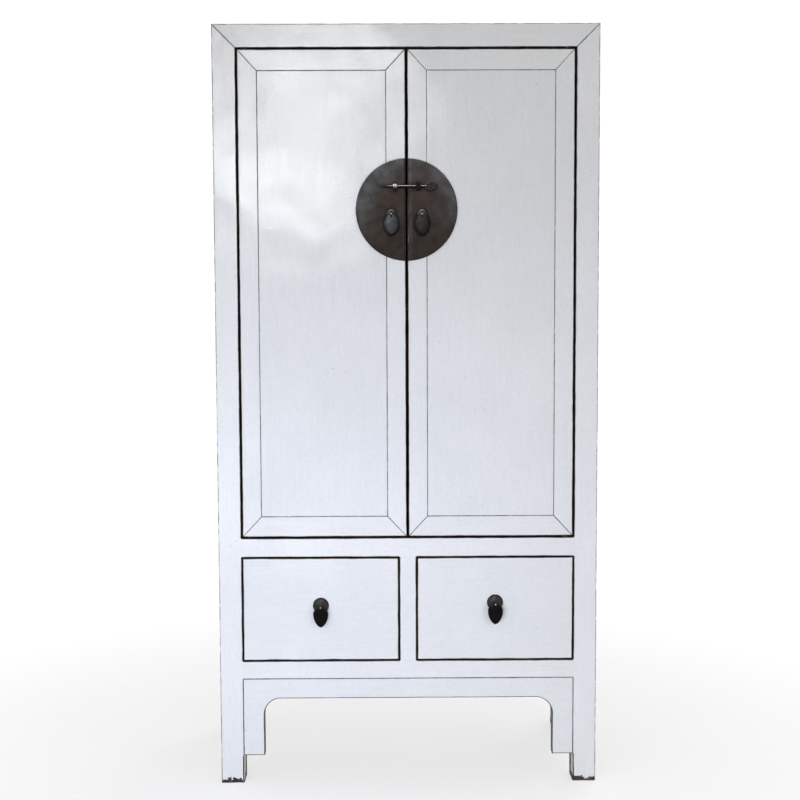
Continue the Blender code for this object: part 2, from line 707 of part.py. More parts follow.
def door_rail(name, side, edge, panel_edge, ends, panel_ends):
    """A rail between the stiles, whose front layer runs on over them to the mitres."""
    inner, outer = ends
    panel_inner, panel_outer = panel_ends
    mitred = [
        (side * (inner + MITRE_SHIFT), edge),
        (side * (outer - MITRE_SHIFT), edge),
        (side * (panel_outer - MITRE_SHIFT), panel_edge),
        (side * (panel_inner + MITRE_SHIFT), panel_edge),
    ]
    overlap = MITRE_DEPTH / 4
    between = rectangle(side * (panel_inner + GAP), edge, side * (panel_outer - GAP), panel_edge)
    rail = piece(name, prism(mitred, "Y", FRONT_Y, FRONT_Y + MITRE_DEPTH - GAP), LACQUER)
    body = prism(between, "Y", FRONT_Y + MITRE_DEPTH - GAP - overlap, FRONT_Y + DOOR_THICKNESS)
    join(rail, f"{name}_body", body)
    return rail


def door(side, side_name, top_rail, waist_rail):
    """One framed door with its pivots, half plate, eye and pull. side is -1 for left and 1 for right."""
    outer, inner = INNER_X - DOOR_GAP, MEETING_GAP / 2
    bottom, top = WAIST_TOP + DOOR_GAP, OPENING_TOP - DOOR_GAP
    panel_outer, panel_inner = outer - STILE_WIDTH, inner + STILE_WIDTH
    panel_bottom, panel_top = bottom + DOOR_RAIL_WIDTH, top - DOOR_RAIL_WIDTH
    prefix = f"door_{side_name}"
    frame = {}
    heights, panel_heights = (bottom, top), (panel_bottom, panel_top)
    for part, edge, panel_edge in (
        ("stile_hinge", outer, panel_outer),
        ("stile_meeting", inner, panel_inner),
    ):
        name = f"{prefix}_{part}"
        frame[part] = door_stile(name, side, edge, panel_edge, heights, panel_heights)
    widths, panel_widths = (inner, outer), (panel_inner, panel_outer)
    for part, edge, panel_edge in (("rail_top", top, panel_top), ("rail_bottom", bottom, panel_bottom)):
        name = f"{prefix}_{part}"
        frame[part] = door_rail(name, side, edge, panel_edge, widths, panel_widths)
    low_x, high_x = sorted((side * panel_inner, side * panel_outer))
    panel = tongued_panel(
        f"{prefix}_panel", "Y", (low_x, panel_bottom), (high_x, panel_top), FRONT_Y + PANEL_RECESS, 1,
        PANEL_THICKNESS, LACQUER, list(frame.values()),
    )

    pivot = Vector((side * (outer - PIVOT_INSET), FRONT_Y + PIVOT_BEHIND_FACE, (bottom + top) / 2))
    for end, start_z, tip_z, rail in (
        ("bottom", bottom + PIVOT_LENGTH, bottom - PIVOT_LENGTH, waist_rail),
        ("top", top - PIVOT_LENGTH, top + PIVOT_LENGTH, top_rail),
    ):
        dowel = cylinder("Z", pivot.xy, PIVOT_RADIUS, start_z, tip_z)
        join(frame["stile_hinge"], f"{prefix}_pivot_{end}", dowel)
        deeper = math.copysign(2 * GAP, tip_z - start_z)
        socket = cylinder("Z", pivot.xy, PIVOT_RADIUS + 2 * GAP, start_z, tip_z + deeper)
        cut(f"{prefix}_socket_{end}", socket, rail)

    plate = face_plate(side, side_name)
    eye = bolt_eye(side, side_name)
    fixed, drop, ring_centre = pull(
        prefix, side * DOOR_PULL_X, DOOR_PULL_HEIGHT, PLATE_FRONT_Y, FRONT_Y + DOOR_THICKNESS,
        DOOR_ROSETTE_RADIUS, DOOR_ROSETTE_DOME,
    )
    stile = frame["stile_meeting"]
    hole_ends = (FRONT_Y - HOLE_MARGIN, FRONT_Y + DOOR_THICKNESS + HOLE_MARGIN)
    for hole, x, z in (("eye", side * EYE_X, BOLT_HEIGHT), ("pull", side * DOOR_PULL_X, DOOR_PULL_HEIGHT)):
        shape = cylinder("Y", (x, z), SHANK_HOLE_RADIUS, *hole_ends, sides=12)
        cut(f"{prefix}_{hole}_hole", shape, plate, stile)

    axis = axis_at(f"{prefix}_axis", pivot)
    hang(axis, *frame.values(), panel, plate, eye, *fixed)
    hang(axis_at(f"{prefix}_pull_axis", ring_centre), drop)


def drawer(side, side_name):
    """One drawer box with its pull. side is -1 for left and 1 for right."""
    prefix = f"drawer_{side_name}"
    inner, outer = side * DRAWER_INNER_X, side * DRAWER_OUTER_X
    low_x, high_x = sorted((inner, outer))
    box_bottom = BASE_TOP + DRAWER_RUN_CLEARANCE
    box_top = box_bottom + DRAWER_SIDE_HEIGHT
    front_back = FRONT_Y + DRAWER_FRONT_THICKNESS
    rear = FRONT_Y + DRAWER_LENGTH
    thick = DRAWER_SIDE_THICKNESS
    front = piece(
        f"{prefix}_front",
        box((low_x, FRONT_Y, BASE_TOP + DRAWER_GAP), (high_x, front_back, WAIST_BOTTOM - DRAWER_GAP)),
        LACQUER,
    )
    walls = {
        "side_left": ((low_x, front_back + GAP, box_bottom), (low_x + thick, rear, box_top)),
        "side_right": ((high_x - thick, front_back + GAP, box_bottom), (high_x, rear, box_top)),
        "back": ((low_x + thick + GAP, rear - thick, box_bottom), (high_x - thick - GAP, rear, box_top)),
    }
    made = [piece(f"{prefix}_{part}", box(*corners), RAW_WOOD) for part, corners in walls.items()]
    board_z = box_bottom + DRAWER_BOTTOM_LIFT
    reach = thick / 2
    low = Vector((low_x + thick - reach, front_back - reach, board_z))
    high = Vector((high_x - thick + reach, rear - thick + reach, board_z + DRAWER_BOTTOM_THICKNESS))
    clearance = Vector((GAP, GAP, GAP))
    bottom = piece(f"{prefix}_bottom", box(low, high), RAW_WOOD)
    cut(f"{prefix}_groove", box(low - clearance, high + clearance), front, *made)
    x, z = side * DRAWER_PULL_X, DRAWER_PULL_HEIGHT[side_name]
    fixed, drop, ring_centre = pull(
        prefix, x, z, FRONT_Y, front_back, DRAWER_ROSETTE_RADIUS, DRAWER_ROSETTE_DOME
    )
    hole_ends = (FRONT_Y - HOLE_MARGIN, front_back + HOLE_MARGIN)
    shape = cylinder("Y", (x, z), SHANK_HOLE_RADIUS, *hole_ends, sides=12)
    cut(f"{prefix}_pull_hole", shape, front)
    axis = axis_at(f"{prefix}_axis", Vector((x, FRONT_Y, z)))
    hang(axis, front, *made, bottom, *fixed)
    hang(axis_at(f"{prefix}_pull_axis", ring_centre), drop)


def main():
    clear_scene()
    top_rail, waist_rail = carcass()
    for side, side_name in ((-1, "left"), (1, "right")):
        door(side, side_name, top_rail, waist_rail)
        drawer(side, side_name)
    hang(axis_at("bolt_axis", Vector((BOLT_HEAD_START, BOLT_Y, BOLT_HEIGHT))), bolt_pin())


main()
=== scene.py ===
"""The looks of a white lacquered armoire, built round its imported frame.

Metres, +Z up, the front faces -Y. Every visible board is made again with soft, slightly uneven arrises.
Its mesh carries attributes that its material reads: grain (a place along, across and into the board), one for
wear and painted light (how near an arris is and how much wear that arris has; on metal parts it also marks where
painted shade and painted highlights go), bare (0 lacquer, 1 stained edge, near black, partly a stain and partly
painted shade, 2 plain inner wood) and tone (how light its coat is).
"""

import json
import math
from collections import namedtuple

import bmesh
import bpy
from mathutils import Matrix, Vector, noise


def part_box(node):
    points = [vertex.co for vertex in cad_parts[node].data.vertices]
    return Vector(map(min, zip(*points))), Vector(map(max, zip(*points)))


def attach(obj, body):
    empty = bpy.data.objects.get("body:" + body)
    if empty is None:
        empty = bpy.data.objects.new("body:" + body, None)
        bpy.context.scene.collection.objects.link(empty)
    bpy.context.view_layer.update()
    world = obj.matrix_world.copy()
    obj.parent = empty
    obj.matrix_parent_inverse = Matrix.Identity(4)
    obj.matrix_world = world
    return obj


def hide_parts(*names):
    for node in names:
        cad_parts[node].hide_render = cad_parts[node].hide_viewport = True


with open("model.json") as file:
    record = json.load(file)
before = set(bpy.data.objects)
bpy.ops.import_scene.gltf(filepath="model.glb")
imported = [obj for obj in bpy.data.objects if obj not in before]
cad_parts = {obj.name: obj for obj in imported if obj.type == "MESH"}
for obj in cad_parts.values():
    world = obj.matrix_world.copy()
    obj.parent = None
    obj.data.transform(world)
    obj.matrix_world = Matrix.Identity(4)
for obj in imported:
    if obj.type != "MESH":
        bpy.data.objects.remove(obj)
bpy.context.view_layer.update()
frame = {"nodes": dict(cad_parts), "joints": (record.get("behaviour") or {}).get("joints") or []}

# Sizes that the frame's boxes don't give, as in the CAD
GAP = 0.0003
MITRE_DEPTH = 0.0042
SPANDREL_WIDTH = 0.0535
ARCH_TOP = 0.2185
ARCH_RADIUS = 0.040
SIDE_SPANDREL_WIDTH = 0.034
SIDE_ARCH_TOP = 0.235
SIDE_ARCH_RADIUS = 0.030
TOE_RADIUS = 0.004
PIVOT_RADIUS = 0.006
RING_RADIUS = 0.0060
WIRE_RADIUS = 0.0012
DROP_HOLE_RADIUS = 0.0024
EYE_HOLE_RADIUS = 0.0039
SHANK_RADIUS = 0.0026
CLENCH_RADIUS = 0.0048
CLENCH_END_RADIUS = 0.0040
CLENCH_THICKNESS = 0.0016
BOLT_HEAD_LENGTH = 0.034

# The furthest in that the rounding of a shaped rail may reach, so that its small toes don't fold over
TOE_LIMIT = 0.75 * TOE_RADIUS

# Levels and planes of the case, from the frame
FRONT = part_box("post_front_left")[0].y
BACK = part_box("post_back_left")[1].y
POST_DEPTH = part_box("post_front_left")[1].y - FRONT
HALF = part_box("post_front_right")[1].x
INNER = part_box("post_front_right")[0].x
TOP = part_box("top_rail_front")[1].z
OPENING_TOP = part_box("top_rail_front")[0].z
WAIST_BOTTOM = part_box("waist_rail_front")[0].z
WAIST_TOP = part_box("waist_rail_front")[1].z
BASE_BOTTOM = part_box("base_rail_front")[0].z
BASE_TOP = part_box("base_rail_front")[1].z
RAIL_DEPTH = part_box("waist_rail_front")[1].y - FRONT
SPANDREL_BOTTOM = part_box("apron_front")[0].z
SIDE_SPANDREL_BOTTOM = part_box("base_rail_left")[0].z
DIVIDER_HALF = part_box("drawer_divider")[1].x
MIDDLE_Y = (FRONT + BACK) / 2
JOINT_PLACE = {joint["name"]: Vector(joint["pos_m"]) for joint in frame["joints"] if "pos_m" in joint}

# For an axis: the two axes of a flat outline across it, then the axis itself
PLANES = {"X": (1, 2, 0), "Y": (0, 2, 1), "Z": (0, 1, 2)}

# An arris: its radius, how worn it is (from about 0.5 it shows dark all along), and how far its line wanders
ARRIS = {
    "square": (0.00005, -1.0, 0.0),
    "tight": (0.0003, 0.82, 0.00012),
    "mitre": (0.0003, 0.80, 0.00010),
    "crack": (0.0005, 0.86, 0.00030),
    "gap": (0.0009, 1.00, 0.0009),
    "outer": (0.0013, 0.60, 0.0006),
    "arch": (0.0020, 1.90, 0.0009),
    "toe": (0.0014, 1.90, 0.0),
    "foot": (0.0022, 1.15, 0.0014),
    "plank": (0.0010, 0.50, 0.0003),
    "hidden": (0.0005, -1.0, 0.0),
    # On the plate this arris takes its dark fourth tone: a painted shade line all round its rim
    "metal": (0.0007, 0.90, 0.0003),
}

# An outline's edge: its arris in front, its arris behind, and how bare its side is at four depths, where 0 is
# # lacquered, 1 stained near black, partly a stain and partly painted shade so that gaps and hollows read dark,
# and 2 plain
EDGE = {
    "butt": ("square", "square", (1.0, 1.0, 1.0, 1.0)),
    "bridged": ("square", "hidden", (1.0, 1.0, 1.0, 1.0)),
    "door_gap": ("gap", "hidden", (0.8, 1.0, 1.0, 1.0)),
    "case_gap": ("gap", "hidden", (0.8, 1.0, 2.0, 2.0)),
    "crack": ("crack", "hidden", (1.0, 1.0, 1.0, 1.0)),
    "inside": ("tight", "hidden", (1.0, 2.0, 2.0, 2.0)),
    "tight": ("tight", "hidden", (1.0, 1.0, 1.0, 1.0)),
    "mitre": ("mitre", "hidden", (1.0, 1.0, 1.0, 1.0)),
    "case_side": ("outer", "tight", (0.0, 0.0, 0.0, 0.0)),
    "leg_side": ("outer", "outer", (0.0, 0.0, 0.0, 0.0)),
    "leg_inside": ("arch", "outer", (0.0, 0.1, 0.42, 1.0)),
    "foot": ("foot", "foot", (0.6, 1.0, 1.0, 1.0)),
    "arch": ("arch", "outer", (0.3, 0.7, 1.0, 1.0)),
    "toe": ("toe", "outer", (0.3, 0.7, 1.0, 1.0)),
    "plank": ("plank", "hidden", (1.0, 1.0, 1.0, 1.0)),
    "metal": ("metal", "square", (0.0, 0.0, 0.0, 0.0)),
}

# How far wear reaches from an arris, the usual length of a mesh edge along it, the length of one beside a
# corner, and the angles of the lines round the arris
REACH = 0.0012
STEP = 0.016
CORNER_STEP = 0.0010
ARC_ANGLES = (0, 30, 60, 90)

# How deep the lines down a board's side still wander, and how far the first and last are from its faces
WANDER_DEPTH = 0.006
SIDE_MARGIN = 0.0022

made_materials = {}


# ---------------------------------------------------------------- shader building blocks


def add_node(tree, kind, inputs=None, **settings):
    """A node with its settings and inputs: an input is a socket to link or a value."""
    made = tree.nodes.new(kind)
    for key, value in settings.items():
        setattr(made, key, value)
    for key, value in (inputs or {}).items():
        socket = made.inputs[key]
        if isinstance(value, bpy.types.NodeSocket):
            tree.links.new(value, socket)
        else:
            socket.default_value = value
    return made


def calculate(tree, operation, first, second=0.0, clamp=False):
    made = add_node(tree, "ShaderNodeMath", {0: first, 1: second}, operation=operation, use_clamp=clamp)
    return made.outputs[0]


def times(tree, first, *others):
    for other in others:
        first = calculate(tree, "MULTIPLY", first, other)
    return first


def plus(tree, first, *others):
    for other in others:
        first = calculate(tree, "ADD", first, other)
    return first


def minus(tree, first, second):
    return calculate(tree, "SUBTRACT", first, second)


def position(tree):
    """The place in space, in metres, at rest."""
    return add_node(tree, "ShaderNodeTexCoord").outputs["Object"]


def separated(tree, vector):
    return add_node(tree, "ShaderNodeSeparateXYZ", {0: vector}).outputs


def distance(tree, vector):
    return add_node(tree, "ShaderNodeVectorMath", {0: vector}, operation="LENGTH").outputs["Value"]


def stretched(tree, vector, scale, offset=(0.0, 0.0, 0.0)):
    inputs = {"Vector": vector, "Scale": scale, "Location": offset}
    return add_node(tree, "ShaderNodeMapping", inputs).outputs[0]


def cloud(tree, vector, scale, detail=2.0, roughness=0.5, distortion=0.0):
    """Noise from about 0.25 to 0.75, with 0.5 as its middle."""
    inputs = {"Vector": vector, "Scale": scale, "Detail": detail}
    inputs |= {"Roughness": roughness, "Distortion": distortion}
    return add_node(tree, "ShaderNodeTexNoise", inputs).outputs[0]


def between(tree, value, low, high, to_low=0.0, to_high=1.0, smooth=True):
    """value from low to high as to_low to to_high, held at its ends."""
    inputs = {"Value": value, "From Min": low, "From Max": high, "To Min": to_low, "To Max": to_high}
    kind = "SMOOTHSTEP" if smooth else "LINEAR"
    return add_node(tree, "ShaderNodeMapRange", inputs, interpolation_type=kind, clamp=True).outputs[0]


def blended(tree, share, first, second, blend_type="MIX"):
    """Two colours mixed. A colour is a socket or three numbers."""
    made = tree.nodes.new("ShaderNodeMix")
    made.data_type = "RGBA"
    made.blend_type = blend_type
    sockets = [socket for socket in made.inputs if socket.enabled]
    for socket, value in zip(sockets, (share, first, second)):
        if isinstance(value, bpy.types.NodeSocket):
            tree.links.new(value, socket)
        elif isinstance(value, tuple):
            socket.default_value = (*value, 1.0)
        else:
            socket.default_value = value
    return next(socket for socket in made.outputs if socket.enabled)


def raised(tree, height, distance, strength=1.0, under=None):
    inputs = {"Height": height, "Distance": distance, "Strength": strength}
    if under is not None:
        inputs["Normal"] = under
    return add_node(tree, "ShaderNodeBump", inputs).outputs[0]


def own_value(tree, name, vector=False):
    made = add_node(tree, "ShaderNodeAttribute", attribute_name=name)
    return made.outputs["Vector" if vector else "Fac"]


def new_material(name, build):
    """The material of this name, made on first use by build(tree, shader)."""
    if name not in made_materials:
        made = bpy.data.materials.new(name)
        made.use_nodes = True
        tree = made.node_tree
        tree.nodes.clear()
        shader = add_node(tree, "ShaderNodeBsdfPrincipled")
        output = add_node(tree, "ShaderNodeOutputMaterial")
        tree.links.new(shader.outputs[0], output.inputs[0])
        build(tree, shader)
        made_materials[name] = made
    return made_materials[name]


def connect(tree, shader, **inputs):
    """Links or sets the shader's inputs. Underscores in a name stand for spaces."""
    for key, value in inputs.items():
        socket = shader.inputs[key.replace("_", " ")]
        if isinstance(value, bpy.types.NodeSocket):
            tree.links.new(value, socket)
        else:
            socket.default_value = value


# ---------------------------------------------------------------- materials


def wood_figure(tree, grain):
    """How light the wood is, from 0 to 1, with its lines along the grain's first axis."""
    warped = cloud(tree, stretched(tree, grain, (1.2, 9.0, 9.0)), 1.0, 3.0)
    rings = cloud(tree, stretched(tree, grain, (2.5, 95.0, 60.0)), 1.0, 4.0, 0.62, 0.6)
    pores = cloud(tree, stretched(tree, grain, (18.0, 900.0, 900.0)), 1.0, 2.0)
    lines = plus(tree, times(tree, rings, 0.7), times(tree, warped, 0.3))
    lines = between(tree, lines, 0.36, 0.64)
    return calculate(tree, "SUBTRACT", lines, between(tree, pores, 0.60, 0.70, 0.0, 0.35), clamp=True)


def lacquer(tree, shader):
    """White brushed lacquer, worn through to dark wood along the arrises."""
    grain = own_value(tree, "grain", vector=True)
    wear_and_painted_light = own_value(tree, "wear_and_painted_light")
    bare = own_value(tree, "bare")
    place = position(tree)

    # The coat: cool white, with soft clouds, brush strokes along the board and a few dull marks
    tone = between(tree, cloud(tree, place, 3.1, 3.0), 0.35, 0.65)
    coat = blended(tree, tone, (0.768, 0.772, 0.755), (0.803, 0.806, 0.786))
    strokes = cloud(tree, stretched(tree, grain, (12.0, 260.0, 260.0)), 1.0, 5.0, 0.66)
    hairs = cloud(tree, stretched(tree, grain, (40.0, 1100.0, 1100.0)), 1.0, 2.0)
    mottle = cloud(tree, place, 130.0, 4.0, 0.6)
    stroke_tone = between(tree, strokes, 0.30, 0.70, 0.970, 1.022, smooth=False)
    hair_tone = between(tree, hairs, 0.30, 0.70, 0.990, 1.009, smooth=False)
    mottle_tone = between(tree, mottle, 0.30, 0.70, 0.970, 1.020, smooth=False)
    film = times(tree, stroke_tone, hair_tone, mottle_tone, own_value(tree, "tone"))
    coat = blended(tree, 1.0, coat, film, "MULTIPLY")
    crowding = between(tree, cloud(tree, place, 7.0, 2.0), 0.45, 0.68, -0.05, 0.05)
    spots = plus(tree, cloud(tree, place, 170.0, 1.0), crowding)
    coat = blended(tree, between(tree, spots, 0.780, 0.825, 0.0, 0.45), coat, (0.25, 0.24, 0.24))
    scuffs = cloud(tree, stretched(tree, grain, (30.0, 420.0, 420.0), (3.1, 0.4, 0.7)), 1.0, 2.0, 0.6)
    coat = blended(tree, between(tree, scuffs, 0.695, 0.76, 0.0, 0.30), coat, (0.47, 0.47, 0.49))

    # Dirt that gathers beside the arrises, then the wear along them and the chips at the feet
    coarse = cloud(tree, place, 42.0, 3.0, 0.6)
    fine = cloud(tree, place, 330.0, 2.0, 0.6)
    unevenness = minus(tree, plus(tree, times(tree, coarse, 1.5), times(tree, fine, 0.7)), 1.1)
    ragged = plus(tree, wear_and_painted_light, unevenness)
    grime = between(tree, ragged, -1.6, 0.6, 0.0, 0.30)
    coat = blended(tree, grime, coat, (0.36, 0.34, 0.33))
    wear = between(tree, ragged, 0.38, 0.62)
    height = separated(tree, place)["Z"]
    chips = times(tree, minus(tree, cloud(tree, place, 46.0, 4.0, 0.66), 0.5), 7.0)
    chips = plus(tree, chips, between(tree, height, 0.004, 0.031, 1.45, -2.20, smooth=False))
    wear = calculate(tree, "MAXIMUM", wear, between(tree, chips, 0.30, 0.42))
    wood_tone = between(tree, cloud(tree, place, 21.0, 3.0), 0.42, 0.66)
    worn_wood = blended(tree, wood_tone, (0.020, 0.015, 0.013), (0.085, 0.052, 0.036))
    colour = blended(tree, wear, coat, worn_wood)

    # Stained edges, near black: partly a stain and partly painted shade, so that the gaps between boards, the
    # arch edges and the backs of the legs' inner faces read dark; and plain inner faces
    figure = wood_figure(tree, grain)
    stain_and_painted_shade = blended(tree, figure, (0.012, 0.009, 0.008), (0.040, 0.027, 0.020))
    inner = blended(tree, figure, (0.120, 0.068, 0.038), (0.270, 0.165, 0.095))
    ragged_bare = plus(tree, bare, times(tree, unevenness, 0.35))
    edge_share = between(tree, ragged_bare, 0.42, 0.60)
    inner_share = between(tree, bare, 1.3, 1.7)
    colour = blended(tree, edge_share, colour, stain_and_painted_shade)
    colour = blended(tree, inner_share, colour, inner)

    # Gloss
    uncoated = calculate(tree, "MAXIMUM", wear, edge_share)
    smear = between(tree, cloud(tree, place, 6.0, 3.0, 0.6), 0.3, 0.7, 0.09, 0.15)
    gloss = plus(tree, smear, between(tree, strokes, 0.3, 0.7, -0.02, 0.06))
    inputs = {0: uncoated, 2: gloss, 3: 0.62}
    roughness = add_node(tree, "ShaderNodeMix", inputs, data_type="FLOAT").outputs[0]

    # Relief: long waves of the hand-planed board, dents, brush strokes, and the step down to bare wood
    dents = between(tree, cloud(tree, place, 38.0, 0.0), 0.70, 0.86)
    normal = raised(tree, cloud(tree, place, 7.0, 1.0), 0.0030)
    reliefs = [(dents, 0.0003, 0.4), (strokes, 0.00018, 0.8), (mottle, 0.00006, 0.8), (hairs, 0.00002, 0.6)]
    for relief, rise, strength in reliefs + [(wear, 0.0002, 0.5)]:
        normal = raised(tree, relief, rise, strength, normal)
    connect(tree, shader, Base_Color=colour, Roughness=roughness, Normal=normal, IOR=1.5)


def raw_wood(tree, shader, turn):
    """Oiled brown boards of the inside, whose grain runs along X, or along Y when it is turned."""
    place = position(tree)
    grain = add_node(tree, "ShaderNodeMapping", {"Vector": place, "Rotation": (0.0, 0.0, turn)}).outputs[0]
    figure = wood_figure(tree, grain)
    base = blended(tree, figure, (0.135, 0.075, 0.040), (0.300, 0.185, 0.105))
    tone = between(tree, cloud(tree, place, 4.0, 2.0), 0.35, 0.65, 0.85, 1.08)
    base = blended(tree, 1.0, base, tone, "MULTIPLY")
    stains = between(tree, cloud(tree, place, 11.0, 3.0), 0.58, 0.72, 0.0, 0.4)
    base = blended(tree, stains, base, (0.070, 0.040, 0.024))
    normal = raised(tree, figure, 0.0003, 0.5)
    connect(tree, shader, Base_Color=base, Roughness=between(tree, figure, 0, 1, 0.72, 0.55), Normal=normal)


# A metal: its dark mottling, its warm and its cool body, and a fourth tone for its fine speckle and for where
# its mask of
# # wear and painted light is high: a dark rim of painted shade on the plate, dome, blued and iron, a painted
# highlight on
# # the staple, brass and copper, and a lighter tone on the leaf and the black
METALS = {
    "plate": ((0.012, 0.009, 0.007), (0.040, 0.027, 0.022), (0.068, 0.068, 0.071), (0.012, 0.010, 0.009)),
    "leaf": ((0.012, 0.009, 0.007), (0.034, 0.025, 0.020), (0.032, 0.027, 0.024), (0.120, 0.095, 0.078)),
    "dome": ((0.020, 0.019, 0.017), (0.062, 0.058, 0.052), (0.060, 0.061, 0.057), (0.006, 0.005, 0.005)),
    "staple": ((0.012, 0.011, 0.010), (0.025, 0.023, 0.021), (0.024, 0.023, 0.022), (0.850, 0.830, 0.780)),
    "black": ((0.003, 0.002, 0.002), (0.006, 0.004, 0.004), (0.005, 0.004, 0.004), (0.020, 0.016, 0.015)),
    "iron": ((0.009, 0.008, 0.007), (0.024, 0.019, 0.016), (0.024, 0.022, 0.021), (0.005, 0.004, 0.004)),
    "blued": ((0.026, 0.026, 0.029), (0.046, 0.047, 0.052), (0.056, 0.059, 0.067), (0.007, 0.006, 0.006)),
    "brass": ((0.008, 0.006, 0.005), (0.026, 0.018, 0.015), (0.022, 0.017, 0.015), (0.240, 0.205, 0.175)),
    "copper": ((0.026, 0.018, 0.015), (0.090, 0.058, 0.047), (0.075, 0.053, 0.046), (0.700, 0.560, 0.500)),
}

# How rough a metal is, from its smoothest to its roughest places
ROUGHNESS = {
    "plate": (0.36, 0.50), "leaf": (0.36, 0.50), "iron": (0.32, 0.46), "black": (0.30, 0.42),
    "blued": (0.30, 0.42), "dome": (0.30, 0.42), "staple": (0.24, 0.36), "brass": (0.18, 0.30),
    "copper": (0.18, 0.30),
}


def patina(tree, shader, kind):
    """Old metal: warm and cool clouds, dark mottling, and another tone where its mask of wear and painted light
    is high: painted shade as dark rims on the plate, domes and door drops, and painted highlights on the
    staples, the bolt's shaft and its copper eye.
    """
    dark, warm, cool, rub_and_painted_light_tone = METALS[kind]
    on_plate = kind == "plate"
    scale = 1.0 if on_plate else 3.0
    place = position(tree)
    broad = cloud(tree, place, 12.0 * scale, 3.0, 0.55, 0.4)
    coolness = between(tree, broad, 0.36, 0.64)
    # The plate's tones: a painted highlight at its upper rim, and its painted shade
    if on_plate:
        coolness, painted_shade = plate_tones_and_painted_light(tree, place, coolness)
    blotches = cloud(tree, stretched(tree, place, (1, 1, 1), (4.2, 1.7, 0.3)), 30.0 * scale, 4.0, 0.6, 0.3)
    speckle = cloud(tree, place, 420.0, 2.0, 0.6)
    base = blended(tree, coolness, warm, cool)
    base = blended(tree, between(tree, blotches, 0.40, 0.70, 0.0, 0.35), base, dark)
    base = blended(tree, between(tree, speckle, 0.58, 0.74, 0.0, 0.25), base, rub_and_painted_light_tone)
    # Where the mask of wear and painted light is high the metal takes its fourth tone: a rubbed edge on some
    # parts, a painted dark rim (painted shade) on others, and a painted highlight on others
    rub_and_painted_light = plus(tree, own_value(tree, "wear_and_painted_light"), times(tree, blotches, 0.8))
    most_rub_and_painted_light = 0.45 if kind in ("plate", "leaf") else 0.95
    base = blended(tree, between(tree, rub_and_painted_light, 0.80, 1.20, 0.0, most_rub_and_painted_light), base, rub_and_painted_light_tone)
    # On the plate, painted shade: darker low down, with painted shadows behind the bolt and round the drops
    if on_plate:
        base = blended(tree, 1.0, base, painted_shade, "MULTIPLY")
    normal = raised(tree, broad, 0.0008, 0.6)
    normal = raised(tree, blotches, 0.0002, 0.6, normal)
    normal = raised(tree, speckle, 0.00005, 0.5, normal)
    roughness = between(tree, blotches, 0.3, 0.7, *ROUGHNESS[kind])
    connect(tree, shader, Base_Color=base, Roughness=roughness, Metallic=0.75, Normal=normal)


def plate_tones_and_painted_light(tree, place, clouds):
    """How cool the plate is, and how dark its painted shade makes it.

    It is cooler and lighter toward its rim, above all high up, which is a painted highlight, and cooler along
    the right half's straight edge. Its painted shade makes it darker low down, and lays painted shadows behind
    the bolt and round the drops.
    """
    low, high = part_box("face_plate_left")
    centred = stretched(tree, place, (1, 0, 1), (0.0, 0.0, -(low.z + high.z) / 2))
    across, up = (separated(tree, centred)[axis] for axis in "XZ")
    # The cooler, lighter tone toward the rim high up is a painted highlight
    rim = times(tree, between(tree, distance(tree, centred), 0.050, 0.125), between(tree, up, -0.11, 0.03))
    rim = times(tree, rim, plus(tree, times(tree, clouds, 0.7), 0.5))
    edge = times(tree, between(tree, across, 0.002, 0.010, 0.0, 0.6), between(tree, across, 0.016, 0.009))
    coolness = calculate(tree, "ADD", rim, edge, clamp=True)

    # The bolt's painted shadow lies along its line and fades out past its ends
    height = separated(tree, place)["Z"]
    bolt_low, bolt_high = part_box("bolt_pin")
    beside = calculate(tree, "ABSOLUTE", minus(tree, height, (bolt_low.z + bolt_high.z) / 2))
    off_middle = calculate(tree, "ABSOLUTE", across)
    past_end = times(tree, minus(tree, off_middle, 0.048), 0.35)
    beside = calculate(tree, "MAXIMUM", beside, past_end)
    beside = plus(tree, beside, times(tree, clouds, 0.0020))

    drop_low, drop_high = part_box("door_right_pull_drop")
    middle, half = (drop_low + drop_high) / 2, (drop_high - drop_low) / 2
    reach, centre_z = half.z + 0.005, middle.z + 0.004
    mirrored = add_node(tree, "ShaderNodeCombineXYZ", {"X": off_middle, "Z": height}).outputs[0]
    round_drop = stretched(
        tree, mirrored, (1 / half.x, 0.0, 1 / reach), (-middle.x / half.x, 0.0, -centre_z / reach)
    )
    # Painted shade: darker low down, with painted shadows behind the bolt and round the drops
    painted_shade = times(
        tree,
        between(tree, up, -0.10, 0.05, 0.72, 1.0),
        between(tree, beside, 0.0038, 0.0095, 0.42, 1.0),
        between(tree, distance(tree, round_drop), 0.98, 1.25, 0.40, 1.0),
    )
    return coolness, painted_shade


def floor_white(tree, shader):
    """Pale ground that fades out into the white surroundings away from the armoire."""
    fade = between(tree, distance(tree, position(tree)), 0.40, 2.3, 0.62, 1.0)
    connect(tree, shader, Base_Color=(0.92, 0.92, 0.92, 1.0), Roughness=0.8)
    clear = add_node(tree, "ShaderNodeBsdfTransparent")
    mix = add_node(tree, "ShaderNodeMixShader", {0: fade, 1: shader.outputs[0], 2: clear.outputs[0]})
    output = next(node for node in tree.nodes if node.type == "OUTPUT_MATERIAL")
    tree.links.new(mix.outputs[0], output.inputs[0])


# ---------------------------------------------------------------- meshes


def finished(name, shape, body, material, nodes=(), smooth=38):
    """A bmesh as a piece that rides on a body and stands for CAD nodes."""
    mesh = bpy.data.meshes.new(name)
    shape.to_mesh(mesh)
    shape.free()
    obj = bpy.data.objects.new(name, mesh)
    bpy.context.scene.collection.objects.link(obj)
    mesh.materials.append(material)
    mesh.shade_smooth()
    mesh.set_sharp_from_angle(angle=math.radians(smooth))
    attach(obj, body)
    if nodes:
        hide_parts(*nodes)
    return obj


